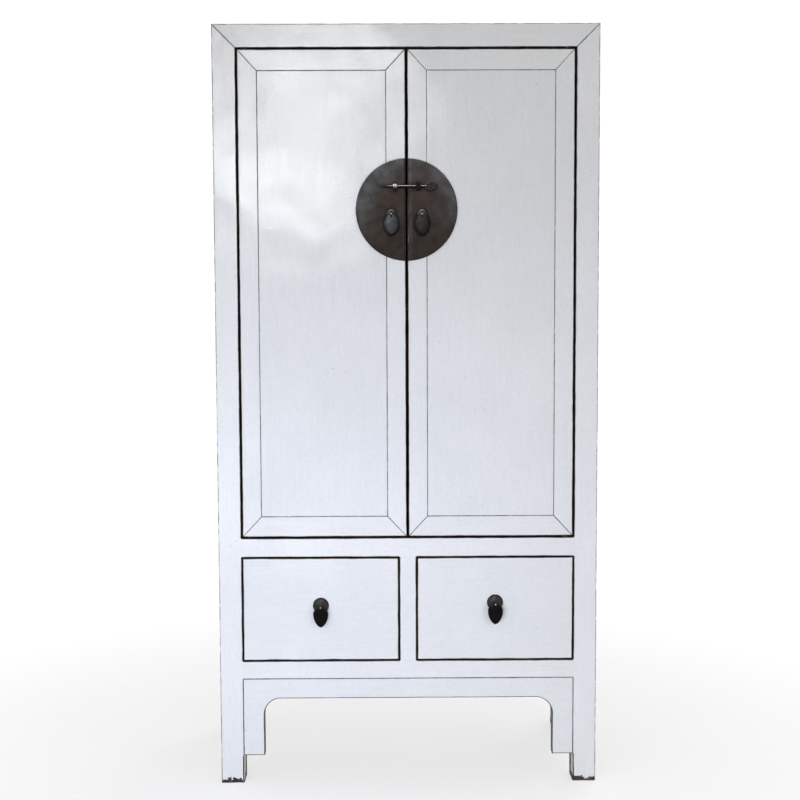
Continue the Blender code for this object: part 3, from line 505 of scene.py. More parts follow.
def ripple(place, scale, seed):
    """Smooth noise from -1 to 1 at a place in space."""
    return noise.noise(Vector(place) * scale + Vector((seed * 7.3, seed * 3.1, seed * 5.7)))


def cross(first, second):
    return first.x * second.y - first.y * second.x


class OutlinePoint:
    """A point of an outline, with the inward normals of the edges before and after it, and its finish."""

    def __init__(self, place, before, after, kinds, behind):
        self.place = place
        self.behind = behind
        self.before = before
        self.after = after
        self.corner = self
        fronts = [ARRIS[EDGE[kind][0]] for kind in kinds]
        backs = [ARRIS[EDGE[kind][1]] for kind in kinds]
        self.front_radii = [radius for radius, _, _ in fronts]
        self.back_radii = [radius for radius, _, _ in backs]
        self.front_wear = sum(wear for _, wear, _ in fronts) / len(fronts)
        self.back_wear = sum(wear for _, wear, _ in backs) / len(backs)
        self.waves = [wave for _, _, wave in fronts]
        self.bare = [max(values) for values in zip(*[EDGE[kind][2] for kind in kinds])]

    def turns(self):
        return abs(cross(self.before, self.after)) > 0.02

    def inward(self, first, second):
        """The move that takes a point in by these distances from the edge before it and the edge after it."""
        if not self.turns():
            return self.before * (first + second) / 2
        across = Vector((
            first * self.after.y - second * self.before.y,
            second * self.before.x - first * self.after.x,
        ))
        return across / cross(self.before, self.after)


def outline_points(corners, kinds, behind):
    """A closed outline with points close together along its edges."""
    count = len(corners)
    area = sum(cross(Vector(corners[i]), Vector(corners[(i + 1) % count])) for i in range(count))
    turn = 1.0 if area > 0 else -1.0
    normals = []
    for i in range(count):
        along = (Vector(corners[(i + 1) % count]) - Vector(corners[i])).normalized()
        normals.append(Vector((-along.y, along.x)) * turn)
    points = []
    for i in range(count):
        start, end = Vector(corners[i]), Vector(corners[(i + 1) % count])
        back_start, back_end = Vector(behind[i]), Vector(behind[(i + 1) % count])
        length = (end - start).length
        shares = [0.0]
        if length > 8 * CORNER_STEP:
            steps = max(1, round(length / STEP))
            shares += [CORNER_STEP / length]
            shares += [k / steps for k in range(1, steps)]
            shares += [1 - CORNER_STEP / length]
        for share in shares:
            place = start.lerp(end, share)
            back_place = back_start.lerp(back_end, share)
            before, near_kinds = normals[i], (kinds[i],)
            if share == 0.0:
                before, near_kinds = normals[i - 1], (kinds[i - 1], kinds[i])
            points.append(OutlinePoint(place, before, normals[i], near_kinds, back_place))
    # The points next to a corner move in with it, so that the lines round the board never cross
    for i, point in enumerate(points):
        if point.turns():
            for near in (points[i - 1], points[(i + 1) % len(points)]):
                if not near.turns():
                    near.corner = point
    return points


def loft(shape, loops, closed=False):
    """A skin over loops of vertices, with a face over each end or, if closed, joined to its own start."""
    pairs = list(zip(loops, loops[1:]))
    if closed:
        pairs.append((loops[-1], loops[0]))
    for lower, upper in pairs:
        for i in range(len(lower)):
            j = (i + 1) % len(lower)
            shape.faces.new((lower[i], lower[j], upper[j], upper[i]))
    if not closed:
        shape.faces.new(loops[0])
        shape.faces.new(loops[-1])
    bmesh.ops.recalc_face_normals(shape, faces=shape.faces)


# A line round a board, in the zone front, side or back. angle is its place on the arris, past how far in it lies
# from there, wander its share of the outline's wandering, bareness its place in an edge's list, and behind
# whether it follows the outline behind.
Level = namedtuple("Level", "zone angle past wander depth bareness behind")


def slab_levels(thickness, step):
    """The lines round a board from its face to its back. A step in its outline is two lines at one depth."""
    arcs = [math.radians(90 - angle) for angle in ARC_ANGLES]
    levels = [Level("front", 0.0, 2 * REACH, 1.0, 0.0, 0, False)]
    levels += [Level("front", angle, 0.0, 1.0, 0.0, 0, False) for angle in arcs]
    depths = (SIDE_MARGIN, min(0.007, thickness * 0.3), thickness * 0.5, thickness - SIDE_MARGIN)
    sides = [
        Level("side", 0.0, 0.0, max(0.0, 1 - depth / WANDER_DEPTH), depth, index, depth > step > 0)
        for index, depth in enumerate(depths)
    ]
    if step > 0:
        place = sum(not level.behind for level in sides)
        sides[place:place] = [Level("side", 0.0, 0.0, 0.0, step, 1, behind) for behind in (False, True)]
    levels += sides
    levels += [Level("back", angle, 0.0, 0.0, 0.0, 3, step > 0) for angle in reversed(arcs)]
    levels.append(Level("back", 0.0, REACH, 0.0, 0.0, 3, step > 0))
    return levels


def slab(corners, kinds, axis, face, back, grain, seed, behind=None, step=0.0, bend=None, folds=(), inner=2.0,
         legs=False, tone=1.0, limit=1.0):
    """A board: an outline across an axis, from its face to its back, with its arrises rounded and uneven.

    behind is the outline from the depth step onwards, where it differs. bend moves the finished points, after
    the board's faces are split at each of the folds, which are an axis and a place along it. inner is how bare
    the back face is (its legs, if it has them, are lacquered), tone how light the board's coat is beside the
    others, and limit the furthest in that the rounding may reach.
    """
    first_axis, second_axis, depth_axis = PLANES[axis]
    thickness = abs(back - face)
    inward = math.copysign(1.0, back - face)
    points = outline_points(corners, kinds, behind or corners)
    shape = bmesh.new()
    grain_layer = shape.verts.layers.float_vector.new("grain")
    wear_and_painted_light_layer = shape.verts.layers.float.new("wear_and_painted_light")
    bare_layer = shape.verts.layers.float.new("bare")
    tone_layer = shape.verts.layers.float.new("tone")
    grain_axes = {"X": (0, 1, 2), "Y": (1, 0, 2), "Z": (2, 0, 1)}[grain]
    shift = Vector((seed * 1.37, seed * 0.291, seed * 0.113))

    def space(flat, depth):
        place = Vector((0.0, 0.0, 0.0))
        place[first_axis], place[second_axis] = flat
        place[depth_axis] = face + inward * depth
        return place

    for point in points:
        at = space(point.place, 0.0)
        point.wander = max(0.0, 0.4 + 0.6 * ripple(at, 19.0, seed) + 0.45 * ripple(at, 75.0, seed + 1))
        point.swell = 1.0 + 0.45 * ripple(at, 33.0, seed + 2)

    def placed(point, level):
        """Where a line round the board passes a point of the outline."""
        lead = point.corner
        radii = lead.back_radii if level.zone == "back" else lead.front_radii
        swell = lead.swell if level.zone == "front" else 1.0
        before, after = radii[0] * swell, radii[-1] * swell
        radius = (before + after) / 2
        # sink is the share of the radius that the line lies in from the edge
        sink = 0.0 if level.zone == "side" else 1 - math.cos(level.angle)
        depth = max(level.depth, radius)
        if level.zone != "side":
            drop = radius * (1 - math.sin(level.angle))
            if level.past > 0:
                sink, drop = 1.0, 0.0
            depth = drop if level.zone == "front" else thickness - drop
        wander = [wave * lead.wander * level.wander for wave in (lead.waves[0], lead.waves[-1])]
        insets = [min(r * sink + level.past + w, limit) for r, w in zip((before, after), wander)]
        base = point.behind if level.behind else point.place
        return space(base + lead.inward(*insets), depth)

    def bareness(point, level, height):
        if level.zone == "side":
            return point.bare[level.bareness]
        if level.zone == "front" or legs and height < BASE_BOTTOM:
            return 0.0
        return max(inner, point.bare[level.bareness])

    loops = []
    for level in slab_levels(thickness, step):
        loop = []
        for point in points:
            place = placed(point, level)
            vert = shape.verts.new(place)
            vert[grain_layer] = Vector([place[i] for i in grain_axes]) + shift
            vert[tone_layer] = tone
            vert[bare_layer] = bareness(point, level, place.z)
            wear = point.back_wear if level.zone == "back" else point.front_wear
            vert[wear_and_painted_light_layer] = -2.0 if level.past > 0 else wear - level.depth / REACH
            loop.append(vert)
        loops.append(loop)
    loft(shape, loops)

    for fold_axis, fold in folds:
        across = Vector((0.0, 0.0, 0.0))
        across[fold_axis] = 1.0
        everything = shape.verts[:] + shape.edges[:] + shape.faces[:]
        bmesh.ops.bisect_plane(shape, geom=everything, plane_co=across * fold, plane_no=across, dist=0.00001)
    if bend:
        for vert in shape.verts:
            vert.co = bend(vert.co)
    bmesh.ops.recalc_face_normals(shape, faces=shape.faces)
    return shape


def merged(*shapes):
    """Several bmeshes as one, with their attributes."""
    whole = bmesh.new()
    for shape in shapes:
        carrier = bpy.data.meshes.new("carrier")
        shape.to_mesh(carrier)
        shape.free()
        whole.from_mesh(carrier)
        bpy.data.meshes.remove(carrier)
    return whole


def rectangle(low_a, low_b, high_a, high_b):
    return [(low_a, low_b), (high_a, low_b), (high_a, high_b), (low_a, high_b)]


def skin(rings, wear_and_painted_light, closed=False):
    """A bmesh over rings of places. Its mask of wear and painted light is one number everywhere, or a function
    of the place.
    """
    shape = bmesh.new()
    wear_and_painted_light_layer = shape.verts.layers.float.new("wear_and_painted_light")
    loops = []
    for ring in rings:
        loop = []
        for place in ring:
            vert = shape.verts.new(place)
            vert[wear_and_painted_light_layer] = wear_and_painted_light(place) if callable(wear_and_painted_light) else wear_and_painted_light
            loop.append(vert)
        loops.append(loop)
    loft(shape, loops, closed)
    return shape


def circle(axis, centre, radius, along, sides):
    """Places round a circle that lies across an axis."""
    first, second, depth = PLANES[axis]
    ring = []
    for i in range(sides):
        angle = 2 * math.pi * i / sides
        place = Vector((0.0, 0.0, 0.0))
        place[first] = centre[0] + radius * math.cos(angle)
        place[second] = centre[1] + radius * math.sin(angle)
        place[depth] = along
        ring.append(place)
    return ring


def turned(profile, axis, centre, sides=40, closed=False, wear_and_painted_light=0.0):
    """A turned shape: the profile's points are (radius, place along the axis)."""
    return skin([circle(axis, centre, radius, along, sides) for radius, along in profile], wear_and_painted_light, closed)


def tube(path, radius, width, wear_and_painted_light, sides=16):
    """A flat wire through these points, width times as wide along X as it is thick, with rounded ends."""
    sideways = Vector((1.0, 0.0, 0.0))
    last = len(path) - 1
    rings = []
    for i, point in enumerate(path):
        along = (path[min(i + 1, last)] - path[max(i - 1, 0)]).normalized()
        across = along.cross(sideways).normalized()
        # Each ring's place along the wire and its size, both as shares of the radius
        rounds = [(0.0, 1.0)]
        if i == 0:
            rounds = [(-0.8, 0.45), (-0.45, 0.82), (0.0, 1.0)]
        elif i == last:
            rounds = [(0.0, 1.0), (0.45, 0.82), (0.8, 0.45)]
        for offset, share in rounds:
            middle = point + along * offset * radius
            ring = []
            for k in range(sides):
                angle = 2 * math.pi * k / sides
                out = sideways * width * math.cos(angle) + across * math.sin(angle)
                ring.append(middle + out * radius * share)
            rings.append(ring)
    return skin(rings, wear_and_painted_light)


# ---------------------------------------------------------------- the case


def lacquered(name, shape, body, node):
    material = new_material("white_lacquer", lacquer)
    return finished(name, shape, body, material, [node])


def board(node, *args, body="carcass", **options):
    return lacquered(f"{node}_lacquered", slab(*args, **options), body, node)


def post(side, end, seed):
    """A corner post. Its top is a pyramid under the case's outer corner, mitred into both top rails."""
    outer, inner = side * HALF, side * INNER
    face = FRONT if end == "front" else BACK
    inward = 1.0 if end == "front" else -1.0
    if end == "front":
        zones = [
            (0.0, "leg_inside"), (SPANDREL_BOTTOM, "crack"), (BASE_BOTTOM, "bridged"), (BASE_TOP, "case_gap"),
            (WAIST_BOTTOM, "bridged"), (WAIST_TOP, "case_gap"),
        ]
    else:
        zones = [(0.0, "leg_inside"), (BASE_BOTTOM, "bridged"), (BASE_TOP, "inside")]
    corners = [(inner, level) for level, _ in zones]
    kinds = [kind for _, kind in zones]
    corners += [(inner, OPENING_TOP), (outer, TOP), (outer, SIDE_SPANDREL_BOTTOM), (outer, 0.0)]
    kinds += ["crack", "case_side", "leg_side", "foot"]

    def bend(place):
        if place.z <= OPENING_TOP:
            return place
        share_x = abs(place.x - outer) / (HALF - INNER)
        share_y = abs(place.y - face) / POST_DEPTH
        if share_x < 0.999:
            rise = (1 - max(share_x, share_y)) / (1 - share_x)
            place.z = OPENING_TOP + (place.z - OPENING_TOP) * max(0.0, rise)
        return place

    side_name = "left" if side < 0 else "right"
    folds = ((2, BASE_BOTTOM - 0.02), (2, BASE_BOTTOM + 0.02))
    board(
        f"post_{end}_{side_name}", corners, kinds, "Y", face, face + inward * POST_DEPTH, "Z", seed,
        bend=bend, folds=folds, legs=True, tone=1.03,
    )


def top_rail(end, seed):
    """The front or back side of the top frame, from one outer corner of the case to the other."""
    face = FRONT if end == "front" else BACK
    back = face + math.copysign(POST_DEPTH, MIDDLE_Y - face)
    corners = [(-INNER, OPENING_TOP), (INNER, OPENING_TOP), (HALF, TOP), (-HALF, TOP)]
    kinds = ["case_gap" if end == "front" else "inside", "crack", "case_side", "crack"]

    def bend(place):
        past = (abs(place.x) - INNER) / (HALF - INNER)
        if past > 0:
            place.y = face + (place.y - face) * (1 - past)
        return place

    folds = ((0, -INNER), (0, INNER))
    board(f"top_rail_{end}", corners, kinds, "Y", face, back, "X", seed, bend=bend, folds=folds)


def top_side_rail(side, seed):
    outer, inner = side * HALF, side * INNER
    front_shoulder, back_shoulder = FRONT + POST_DEPTH, BACK - POST_DEPTH
    corners = [(front_shoulder, OPENING_TOP), (back_shoulder, OPENING_TOP), (BACK, TOP), (FRONT, TOP)]
    kinds = ["tight", "mitre", "case_side", "mitre"]

    def bend(place):
        past = max(front_shoulder - place.y, place.y - back_shoulder) / POST_DEPTH
        if past > 0:
            place.x = outer + (place.x - outer) * (1 - past)
        return place

    name = "top_rail_left" if side < 0 else "top_rail_right"
    folds = ((1, front_shoulder), (1, back_shoulder))
    board(name, corners, kinds, "X", outer, inner, "Y", seed, bend=bend, folds=folds)


def arched_outline(half, top, arch_top, spandrel_width, bottom, radius, centre=0.0):
    """A board with an arch under it, and the kinds of its edges."""
    toe_steps, arch_steps = 4, 16
    inner = half - spandrel_width
    right = [(half, top), (half, bottom)]
    for i in range(toe_steps + 1):
        angle = math.radians(270 - 90 * i / toe_steps)
        across, up = 1 + math.cos(angle), 1 + math.sin(angle)
        right.append((inner + TOE_RADIUS * across, bottom + TOE_RADIUS * up))
    for i in range(arch_steps + 1):
        angle = math.radians(90 * i / arch_steps)
        right.append((inner - radius * (1 - math.cos(angle)), arch_top - radius * (1 - math.sin(angle))))
    outline = right + [(-a, b) for a, b in reversed(right)]
    toe = ["toe"] * toe_steps
    kinds = ["crack", "arch", *toe, *["arch"] * (2 * arch_steps + 3), *toe, "arch", "crack", "crack"]
    return [(centre + a, b) for a, b in outline], kinds


def carcass():
    seed = 1
    for end in ("front", "back"):
        for side in (-1, 1):
            post(side, end, seed)
            seed += 1
        top_rail(end, seed)
        seed += 1
    for side in (-1, 1):
        top_side_rail(side, seed)
        seed += 1

    rail_back = FRONT + RAIL_DEPTH
    corners = [(x, WAIST_BOTTOM) for x in (-INNER, -DIVIDER_HALF, DIVIDER_HALF, INNER)]
    corners += [(INNER, WAIST_TOP), (-INNER, WAIST_TOP)]
    kinds = ["case_gap", "bridged", "case_gap", "butt", "case_gap", "butt"]
    board("waist_rail_front", corners, kinds, "Y", FRONT, rail_back, "X", 12, tone=1.03)
    corners = [(x, BASE_TOP) for x in (INNER, DIVIDER_HALF, -DIVIDER_HALF, -INNER)]
    corners += [(-INNER, BASE_BOTTOM), (INNER, BASE_BOTTOM)]
    kinds = ["case_gap", "bridged", "case_gap", "butt", "crack", "butt"]
    board("base_rail_front", corners, kinds, "Y", FRONT, rail_back, "X", 13, tone=1.02)
    corners = rectangle(-DIVIDER_HALF, BASE_TOP, DIVIDER_HALF, WAIST_BOTTOM)
    kinds = ["butt", "case_gap", "butt", "case_gap"]
    board("drawer_divider", corners, kinds, "Y", FRONT, rail_back, "Z", 14, tone=1.02)
    corners = rectangle(-INNER, BASE_BOTTOM, INNER, BASE_TOP)
    kinds = ["leg_inside", "butt", "tight", "butt"]
    board("base_rail_back", corners, kinds, "Y", BACK, BACK - RAIL_DEPTH, "X", 15)

    low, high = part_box("apron_front")
    corners, kinds = arched_outline(high.x, high.z, ARCH_TOP, SPANDREL_WIDTH, low.z, ARCH_RADIUS)
    board("apron_front", corners, kinds, "Y", low.y, high.y, "X", 16, inner=1.0, limit=TOE_LIMIT)

    front_shoulder, back_shoulder = FRONT + POST_DEPTH, BACK - POST_DEPTH
    for side, side_name, seed in ((-1, "left", 17), (1, "right", 18)):
        low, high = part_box(f"base_rail_{side_name}")
        half = back_shoulder - GAP - MIDDLE_Y
        corners, kinds = arched_outline(
            half, high.z, SIDE_ARCH_TOP, SIDE_SPANDREL_WIDTH, low.z, SIDE_ARCH_RADIUS, MIDDLE_Y
        )
        outer, inner = (low.x, high.x) if side < 0 else (high.x, low.x)
        name = f"base_rail_{side_name}"
        board(name, corners, kinds, "X", outer, inner, "Y", seed, inner=1.0, limit=TOE_LIMIT)
        low, high = (front_shoulder, BASE_TOP), (back_shoulder, OPENING_TOP)
        panel(f"side_panel_{side_name}", "X", side, low, high, "Z", seed + 2)
    panel("top_panel", "Z", 1, (-INNER, front_shoulder), (INNER, back_shoulder), "X", 21)
    back_planks(22)


def panel(node, axis, outward, low, high, grain, seed, body="carcass"):
    """A flat panel in its frame's opening, whose face looks outward, 1 or -1, along the axis."""
    along = PLANES[axis][2]
    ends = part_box(node)
    face, back = (ends[1][along], ends[0][along]) if outward > 0 else (ends[0][along], ends[1][along])
    corners = rectangle(low[0] + GAP, low[1] + GAP, high[0] - GAP, high[1] - GAP)
    board(node, corners, ["tight"] * 4, axis, face, back, grain, seed, body=body, tone=0.98)


def back_planks(seed):
    """The back, of five upright boards edge to edge."""
    low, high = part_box("back_panel")
    half = INNER - GAP
    joints = [half * (2 * share - 1) for share in (0.0, 0.19, 0.41, 0.60, 0.82, 1.0)]
    kinds = ["tight", "plank", "tight", "plank"]
    planks = []
    for i, (start, end) in enumerate(zip(joints, joints[1:])):
        corners = rectangle(start + GAP / 2, BASE_TOP + GAP, end - GAP / 2, OPENING_TOP - GAP)
        planks.append(slab(corners, kinds, "Y", high.y, low.y, "Z", seed + i))
    lacquered("back_panel_planks", merged(*planks), "carcass", "back_panel")


# ---------------------------------------------------------------- doors and drawers


def door(side, side_name, seed):
    """The frame and panel of a door. Only the front of its corners is mitred."""
    body = f"door_{side_name}"
    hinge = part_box(f"{body}_stile_hinge")
    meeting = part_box(f"{body}_stile_meeting")
    bottom, top, back = meeting[0].z, meeting[1].z, meeting[1].y
    panel_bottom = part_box(f"{body}_rail_bottom")[1].z
    panel_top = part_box(f"{body}_rail_top")[0].z
    outward_end, inward_end = (0, 1) if side < 0 else (1, 0)
    outer, panel_outer = hinge[outward_end].x, hinge[inward_end].x
    panel_inner, inner = meeting[outward_end].x, meeting[inward_end].x
    kinds = ["door_gap", "mitre", "tight", "mitre"]
    shift = GAP / math.sqrt(2)
    stiles = (("stile_hinge", outer, panel_outer), ("stile_meeting", inner, panel_inner))
    for part, edge, panel_edge in stiles:
        corners = [(edge, bottom + shift), (edge, top - shift)]
        corners += [(panel_edge, panel_top - shift), (panel_edge, panel_bottom + shift)]
        behind = [(edge, bottom), (edge, top), (panel_edge, top), (panel_edge, bottom)]
        shapes = [slab(corners, kinds, "Y", FRONT, back, "Z", seed, behind=behind, step=MITRE_DEPTH)]
        if part == "stile_hinge":
            shapes += [pivot(body, start, tip) for start, tip in ((bottom, hinge[0].z), (top, hinge[1].z))]
        lacquered(f"{body}_{part}_lacquered", merged(*shapes), body, f"{body}_{part}")
        seed += 1
    slope = math.copysign(shift, outer - inner)
    gap = math.copysign(GAP, slope)
    for part, edge, panel_edge in (("rail_top", top, panel_top), ("rail_bottom", bottom, panel_bottom)):
        corners = [(inner + slope, edge), (outer - slope, edge)]
        corners += [(panel_outer - slope, panel_edge), (panel_inner + slope, panel_edge)]
        behind = [(panel_inner + gap, edge), (panel_outer - gap, edge)]
        behind += [(panel_outer - gap, panel_edge), (panel_inner + gap, panel_edge)]
        board(
            f"{body}_{part}", corners, kinds, "Y", FRONT, back, "X", seed,
            behind=behind, step=MITRE_DEPTH - GAP, body=body,
        )
        seed += 1
    low_x, high_x = sorted((panel_inner, panel_outer))
    panel(f"{body}_panel", "Y", -1, (low_x, panel_bottom), (high_x, panel_top), "Z", seed, body=body)


def pivot(body, start, tip):
    """The wooden dowel that a door turns on, at one end of its stile."""
    centre = JOINT_PLACE[f"{body}_hinge"]
    way = math.copysign(1.0, tip - start)
    chamfer = 0.001
    profile = [(PIVOT_RADIUS, start - way * chamfer), (PIVOT_RADIUS, tip - way * 1.2 * chamfer)]
    profile.append((PIVOT_RADIUS - chamfer, tip))
    return turned(profile, "Z", (centre.x, centre.y), sides=24, wear_and_painted_light=1.0)


def drawer_front(side_name, seed):
    body = f"drawer_{side_name}"
    low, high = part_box(f"{body}_front")
    corners = rectangle(low.x, low.z, high.x, high.z)
    board(f"{body}_front", corners, ["door_gap"] * 4, "Y", low.y, high.y, "X", seed, body=body)


def inner_boards():
    """The boards of the inside keep their CAD shape, with soft arrises and oiled wood."""
    drawers = ("drawer_left", "drawer_right")
    along_x = ["cupboard_floor", "shelf", "drawer_deck", "waist_rail_back"]
    along_x += [f"{drawer}_{part}" for drawer in drawers for part in ("back", "bottom")]
    along_y = [f"{drawer}_side_{side}" for drawer in drawers for side in ("left", "right")]
    for axis, names, turn in (("x", along_x, 0.0), ("y", along_y, math.pi / 2)):
        material = new_material(f"raw_wood_{axis}", lambda tree, shader: raw_wood(tree, shader, turn))
        for name in names:
            obj = frame["nodes"][name]
            for slot in obj.material_slots:
                slot.material = material
            weld = obj.modifiers.new("weld", "WELD")
            weld.merge_threshold = 0.00002
            bevel = obj.modifiers.new("soft_arrises", "BEVEL")
            bevel.width = 0.0007
            bevel.segments = 2
            bevel.limit_method = "ANGLE"
            bevel.angle_limit = math.radians(40)
            bevel.use_clamp_overlap = True


# ---------------------------------------------------------------- metalwork


def metal(name, shape, body, kind, nodes=(), smooth=38):
    material = new_material(f"{kind}_bronze", lambda tree, shader: patina(tree, shader, kind))
    return finished(name, shape, body, material, nodes, smooth)


def face_plate(side, side_name):
    """Half of the round plate, with its nails."""
    body = f"door_{side_name}"
    node = f"face_plate_{side_name}"
    low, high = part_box(node)
    centre_z = (low.z + high.z) / 2
    inner = low.x if side > 0 else high.x
    radius = math.hypot(inner, high.z - centre_z)
    start = math.asin(abs(inner) / radius)
    steps = 72
    corners = []
    for i in range(steps + 1):
        angle = -math.pi / 2 + start + (math.pi - 2 * start) * i / steps
        corners.append((side * radius * math.cos(angle), centre_z + radius * math.sin(angle)))
    # The metal arrises give the plate a dark rim, a painted shade line
    shape = slab(corners, ["metal"] * len(corners), "Y", low.y, high.y, "Z", 40 + side, inner=0.0)
    metal(f"{node}_metal", shape, body, "plate", [node])
    for index, (x, dz) in enumerate(((0.0145, -0.1110), (0.1150, -0.0010), (0.0145, 0.1110))):
        finish = "brass" if side < 0 and index < 2 else "plate"
        nail(f"{node}_nail_{index + 1}", side * x, centre_z + dz, low.y, body, finish)


def nail(name, x, z, face_y, body, finish, radius=0.0020, height=0.0008):
    """A small domed nail head on a face."""
    profile = [(radius, face_y + 0.0004), (radius, face_y - height * 0.25)]
    for i in range(1, 5):
        angle = math.radians(90 * i / 5)
        profile.append((radius * math.cos(angle), face_y - height * (0.25 + 0.75 * math.sin(angle))))
    metal(name, turned(profile, "Y", (x, z), sides=20, wear_and_painted_light=0.45), body, finish, smooth=50)


def rosette(prefix):
    """A domed washer with a thin flat rim."""
    node = f"{prefix}_pull_rosette"
    low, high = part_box(node)
    centre = ((low.x + high.x) / 2, (low.z + high.z) / 2)
    radius, height = (high.x - low.x) / 2, high.y - low.y
    rim, hole = 0.0009, 0.0028
    inside = radius * 0.90
    rim_front = high.y - rim
    profile = [(hole, high.y), (radius, high.y), (radius, high.y - rim * 0.6), (radius - 0.0003, rim_front)]
    profile.append((inside, rim_front))
    steps = 12
    for i in range(steps + 1):
        angle = math.radians(90 * i / steps)
        reach = max(inside * math.cos(angle), hole)
        profile.append((reach, rim_front - (height - rim) * math.sin(angle) ** 0.85))
    profile.append((hole, low.y))

    # Painted shade: the rim is drawn as a dark outline
    def wear_and_painted_light(place):
        out = math.hypot(place.x - centre[0], place.z - centre[1])
        return 0.9 if out > inside * 0.97 else 0.0

    shape = turned(profile, "Y", centre, sides=56, closed=True, wear_and_painted_light=wear_and_painted_light)
    metal(f"{node}_metal", shape, prefix, "dome", [node], smooth=50)


def staple(prefix):
    """The wire loop that the drop hangs from, with its legs bent over behind the board."""
    node = f"{prefix}_pull_staple"
    low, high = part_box(node)
    centre = JOINT_PLACE[f"{prefix}_pull_swing"]
    spread = WIRE_RADIUS * 1.1
    gap_angle = math.asin(spread / RING_RADIUS)
    leg_y, bend_y = high.y - WIRE_RADIUS, high.y - 2.2 * WIRE_RADIUS
    bend_out = 0.003

    def at(y, z):
        return Vector((centre.x, y, z))

    path = [at(leg_y, high.z - WIRE_RADIUS), at(leg_y, centre.z + bend_out), at(bend_y, centre.z + spread)]
    steps = 40
    for i in range(steps + 1):
        angle = gap_angle + (2 * math.pi - 2 * gap_angle) * i / steps
        path.append(at(centre.y + RING_RADIUS * math.cos(angle), centre.z + RING_RADIUS * math.sin(angle)))
    path += [at(bend_y, centre.z - spread), at(leg_y, centre.z - bend_out), at(leg_y, low.z + WIRE_RADIUS)]

    # Painted highlight: the ring's lowest front point shines in the staple's bright tone
    def wear_and_painted_light(place):
        off = math.hypot(place.z - centre.z + 0.0008, place.y - centre.y + RING_RADIUS)
        return 1.1 - off / 0.0030

    metal(f"{node}_metal", tube(path, WIRE_RADIUS, 1.6, wear_and_painted_light), prefix, "staple", [node], smooth=60)


def drop_half_width(share, half_width, widest, roundness):
    """The drop's half width at this share of the way down: round shoulders, then a rounded point."""
    if share > widest:
        rise = (1 - share) / (1 - widest)
        return half_width * math.sin(math.pi / 2 * rise) ** roundness
    up = (widest - share) / widest
    return half_width * math.sqrt(max(0.0, 1 - up**2.2))


def drop(prefix):
    """The pendant: a solid leaf with a flat back, a soft rim and a domed front, pierced for the wire."""
    node = f"{prefix}_pull_drop"
    low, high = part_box(node)
    centre = JOINT_PLACE[f"{prefix}_pull_swing"]
    half_width = (high.x - low.x) / 2
    length = high.z - low.z
    thickness = high.y - low.y
    middle_z = high.z - length * 0.36
    on_door = prefix.startswith("door")
    widest, roundness = (0.43, 0.50) if on_door else (0.33, 0.55)
    steps = 40
    outline = []
    for i in range(steps + 1):
        share = (1 - math.cos(math.pi * i / steps)) / 2
        outline.append((drop_half_width(share, half_width, widest, roundness), high.z - share * length))
    outline += [(-a, b) for a, b in reversed(outline[1:-1])]

    # Each line round the leaf: its size beside the outline, and its share of the way forward
    levels = [(0.955, 0.0), (0.985, 0.10), (1.0, 0.30), (0.995, 0.42), (0.97, 0.52), (0.93, 0.56)]
    levels.append((0.89, 0.58))
    if on_door:
        levels += [(0.84, 0.72), (0.77, 0.82), (0.66, 0.90), (0.45, 0.96), (0.20, 1.0)]
    else:
        levels += [(0.80, 0.72), (0.68, 0.83), (0.52, 0.92), (0.34, 0.98), (0.15, 1.0)]
    rings = []
    for scale, forward in levels:
        y = high.y - thickness * forward
        flat = [(centre.x + a * scale, middle_z + (b - middle_z) * scale) for a, b in outline]
        rings.append([Vector((x, y, z)) for x, z in flat])

    # Painted shade: on the door drops the rear part of the rim is drawn dark, a painted shadow outline; on the
    # black drawer drops it is a little lighter
    def wear_and_painted_light(place):
        return 1.0 if high.y - place.y < 0.57 * thickness else 0.0

    finish = {"door_left": "blued", "door_right": "iron"}.get(prefix, "black")
    made = metal(f"{node}_metal", skin(rings, wear_and_painted_light), f"{prefix}_pull", finish, [node], smooth=55)
    ends = [(DROP_HOLE_RADIUS, low.y - 0.004), (DROP_HOLE_RADIUS, high.y + 0.004)]
    pierce(made, turned(ends, "Y", (centre.x, centre.z - RING_RADIUS), sides=24))


def pierce(obj, cutter_shape):
    """Cuts a shape out of a piece and keeps the result in its mesh."""
    mesh = bpy.data.meshes.new("cutter")
    cutter_shape.to_mesh(mesh)
    cutter_shape.free()
    cutter = bpy.data.objects.new("cutter", mesh)
    bpy.context.scene.collection.objects.link(cutter)
    modifier = obj.modifiers.new("pierce", "BOOLEAN")
    modifier.operation = "DIFFERENCE"
    modifier.solver = "EXACT"
    modifier.object = cutter
    bpy.context.view_layer.update()
    graph = bpy.context.evaluated_depsgraph_get()
    result = bpy.data.meshes.new_from_object(obj.evaluated_get(graph), depsgraph=graph)
    obj.modifiers.clear()
    old = obj.data
    obj.data = result
    bpy.data.meshes.remove(old)
    bpy.data.objects.remove(cutter)
    bpy.data.meshes.remove(mesh)


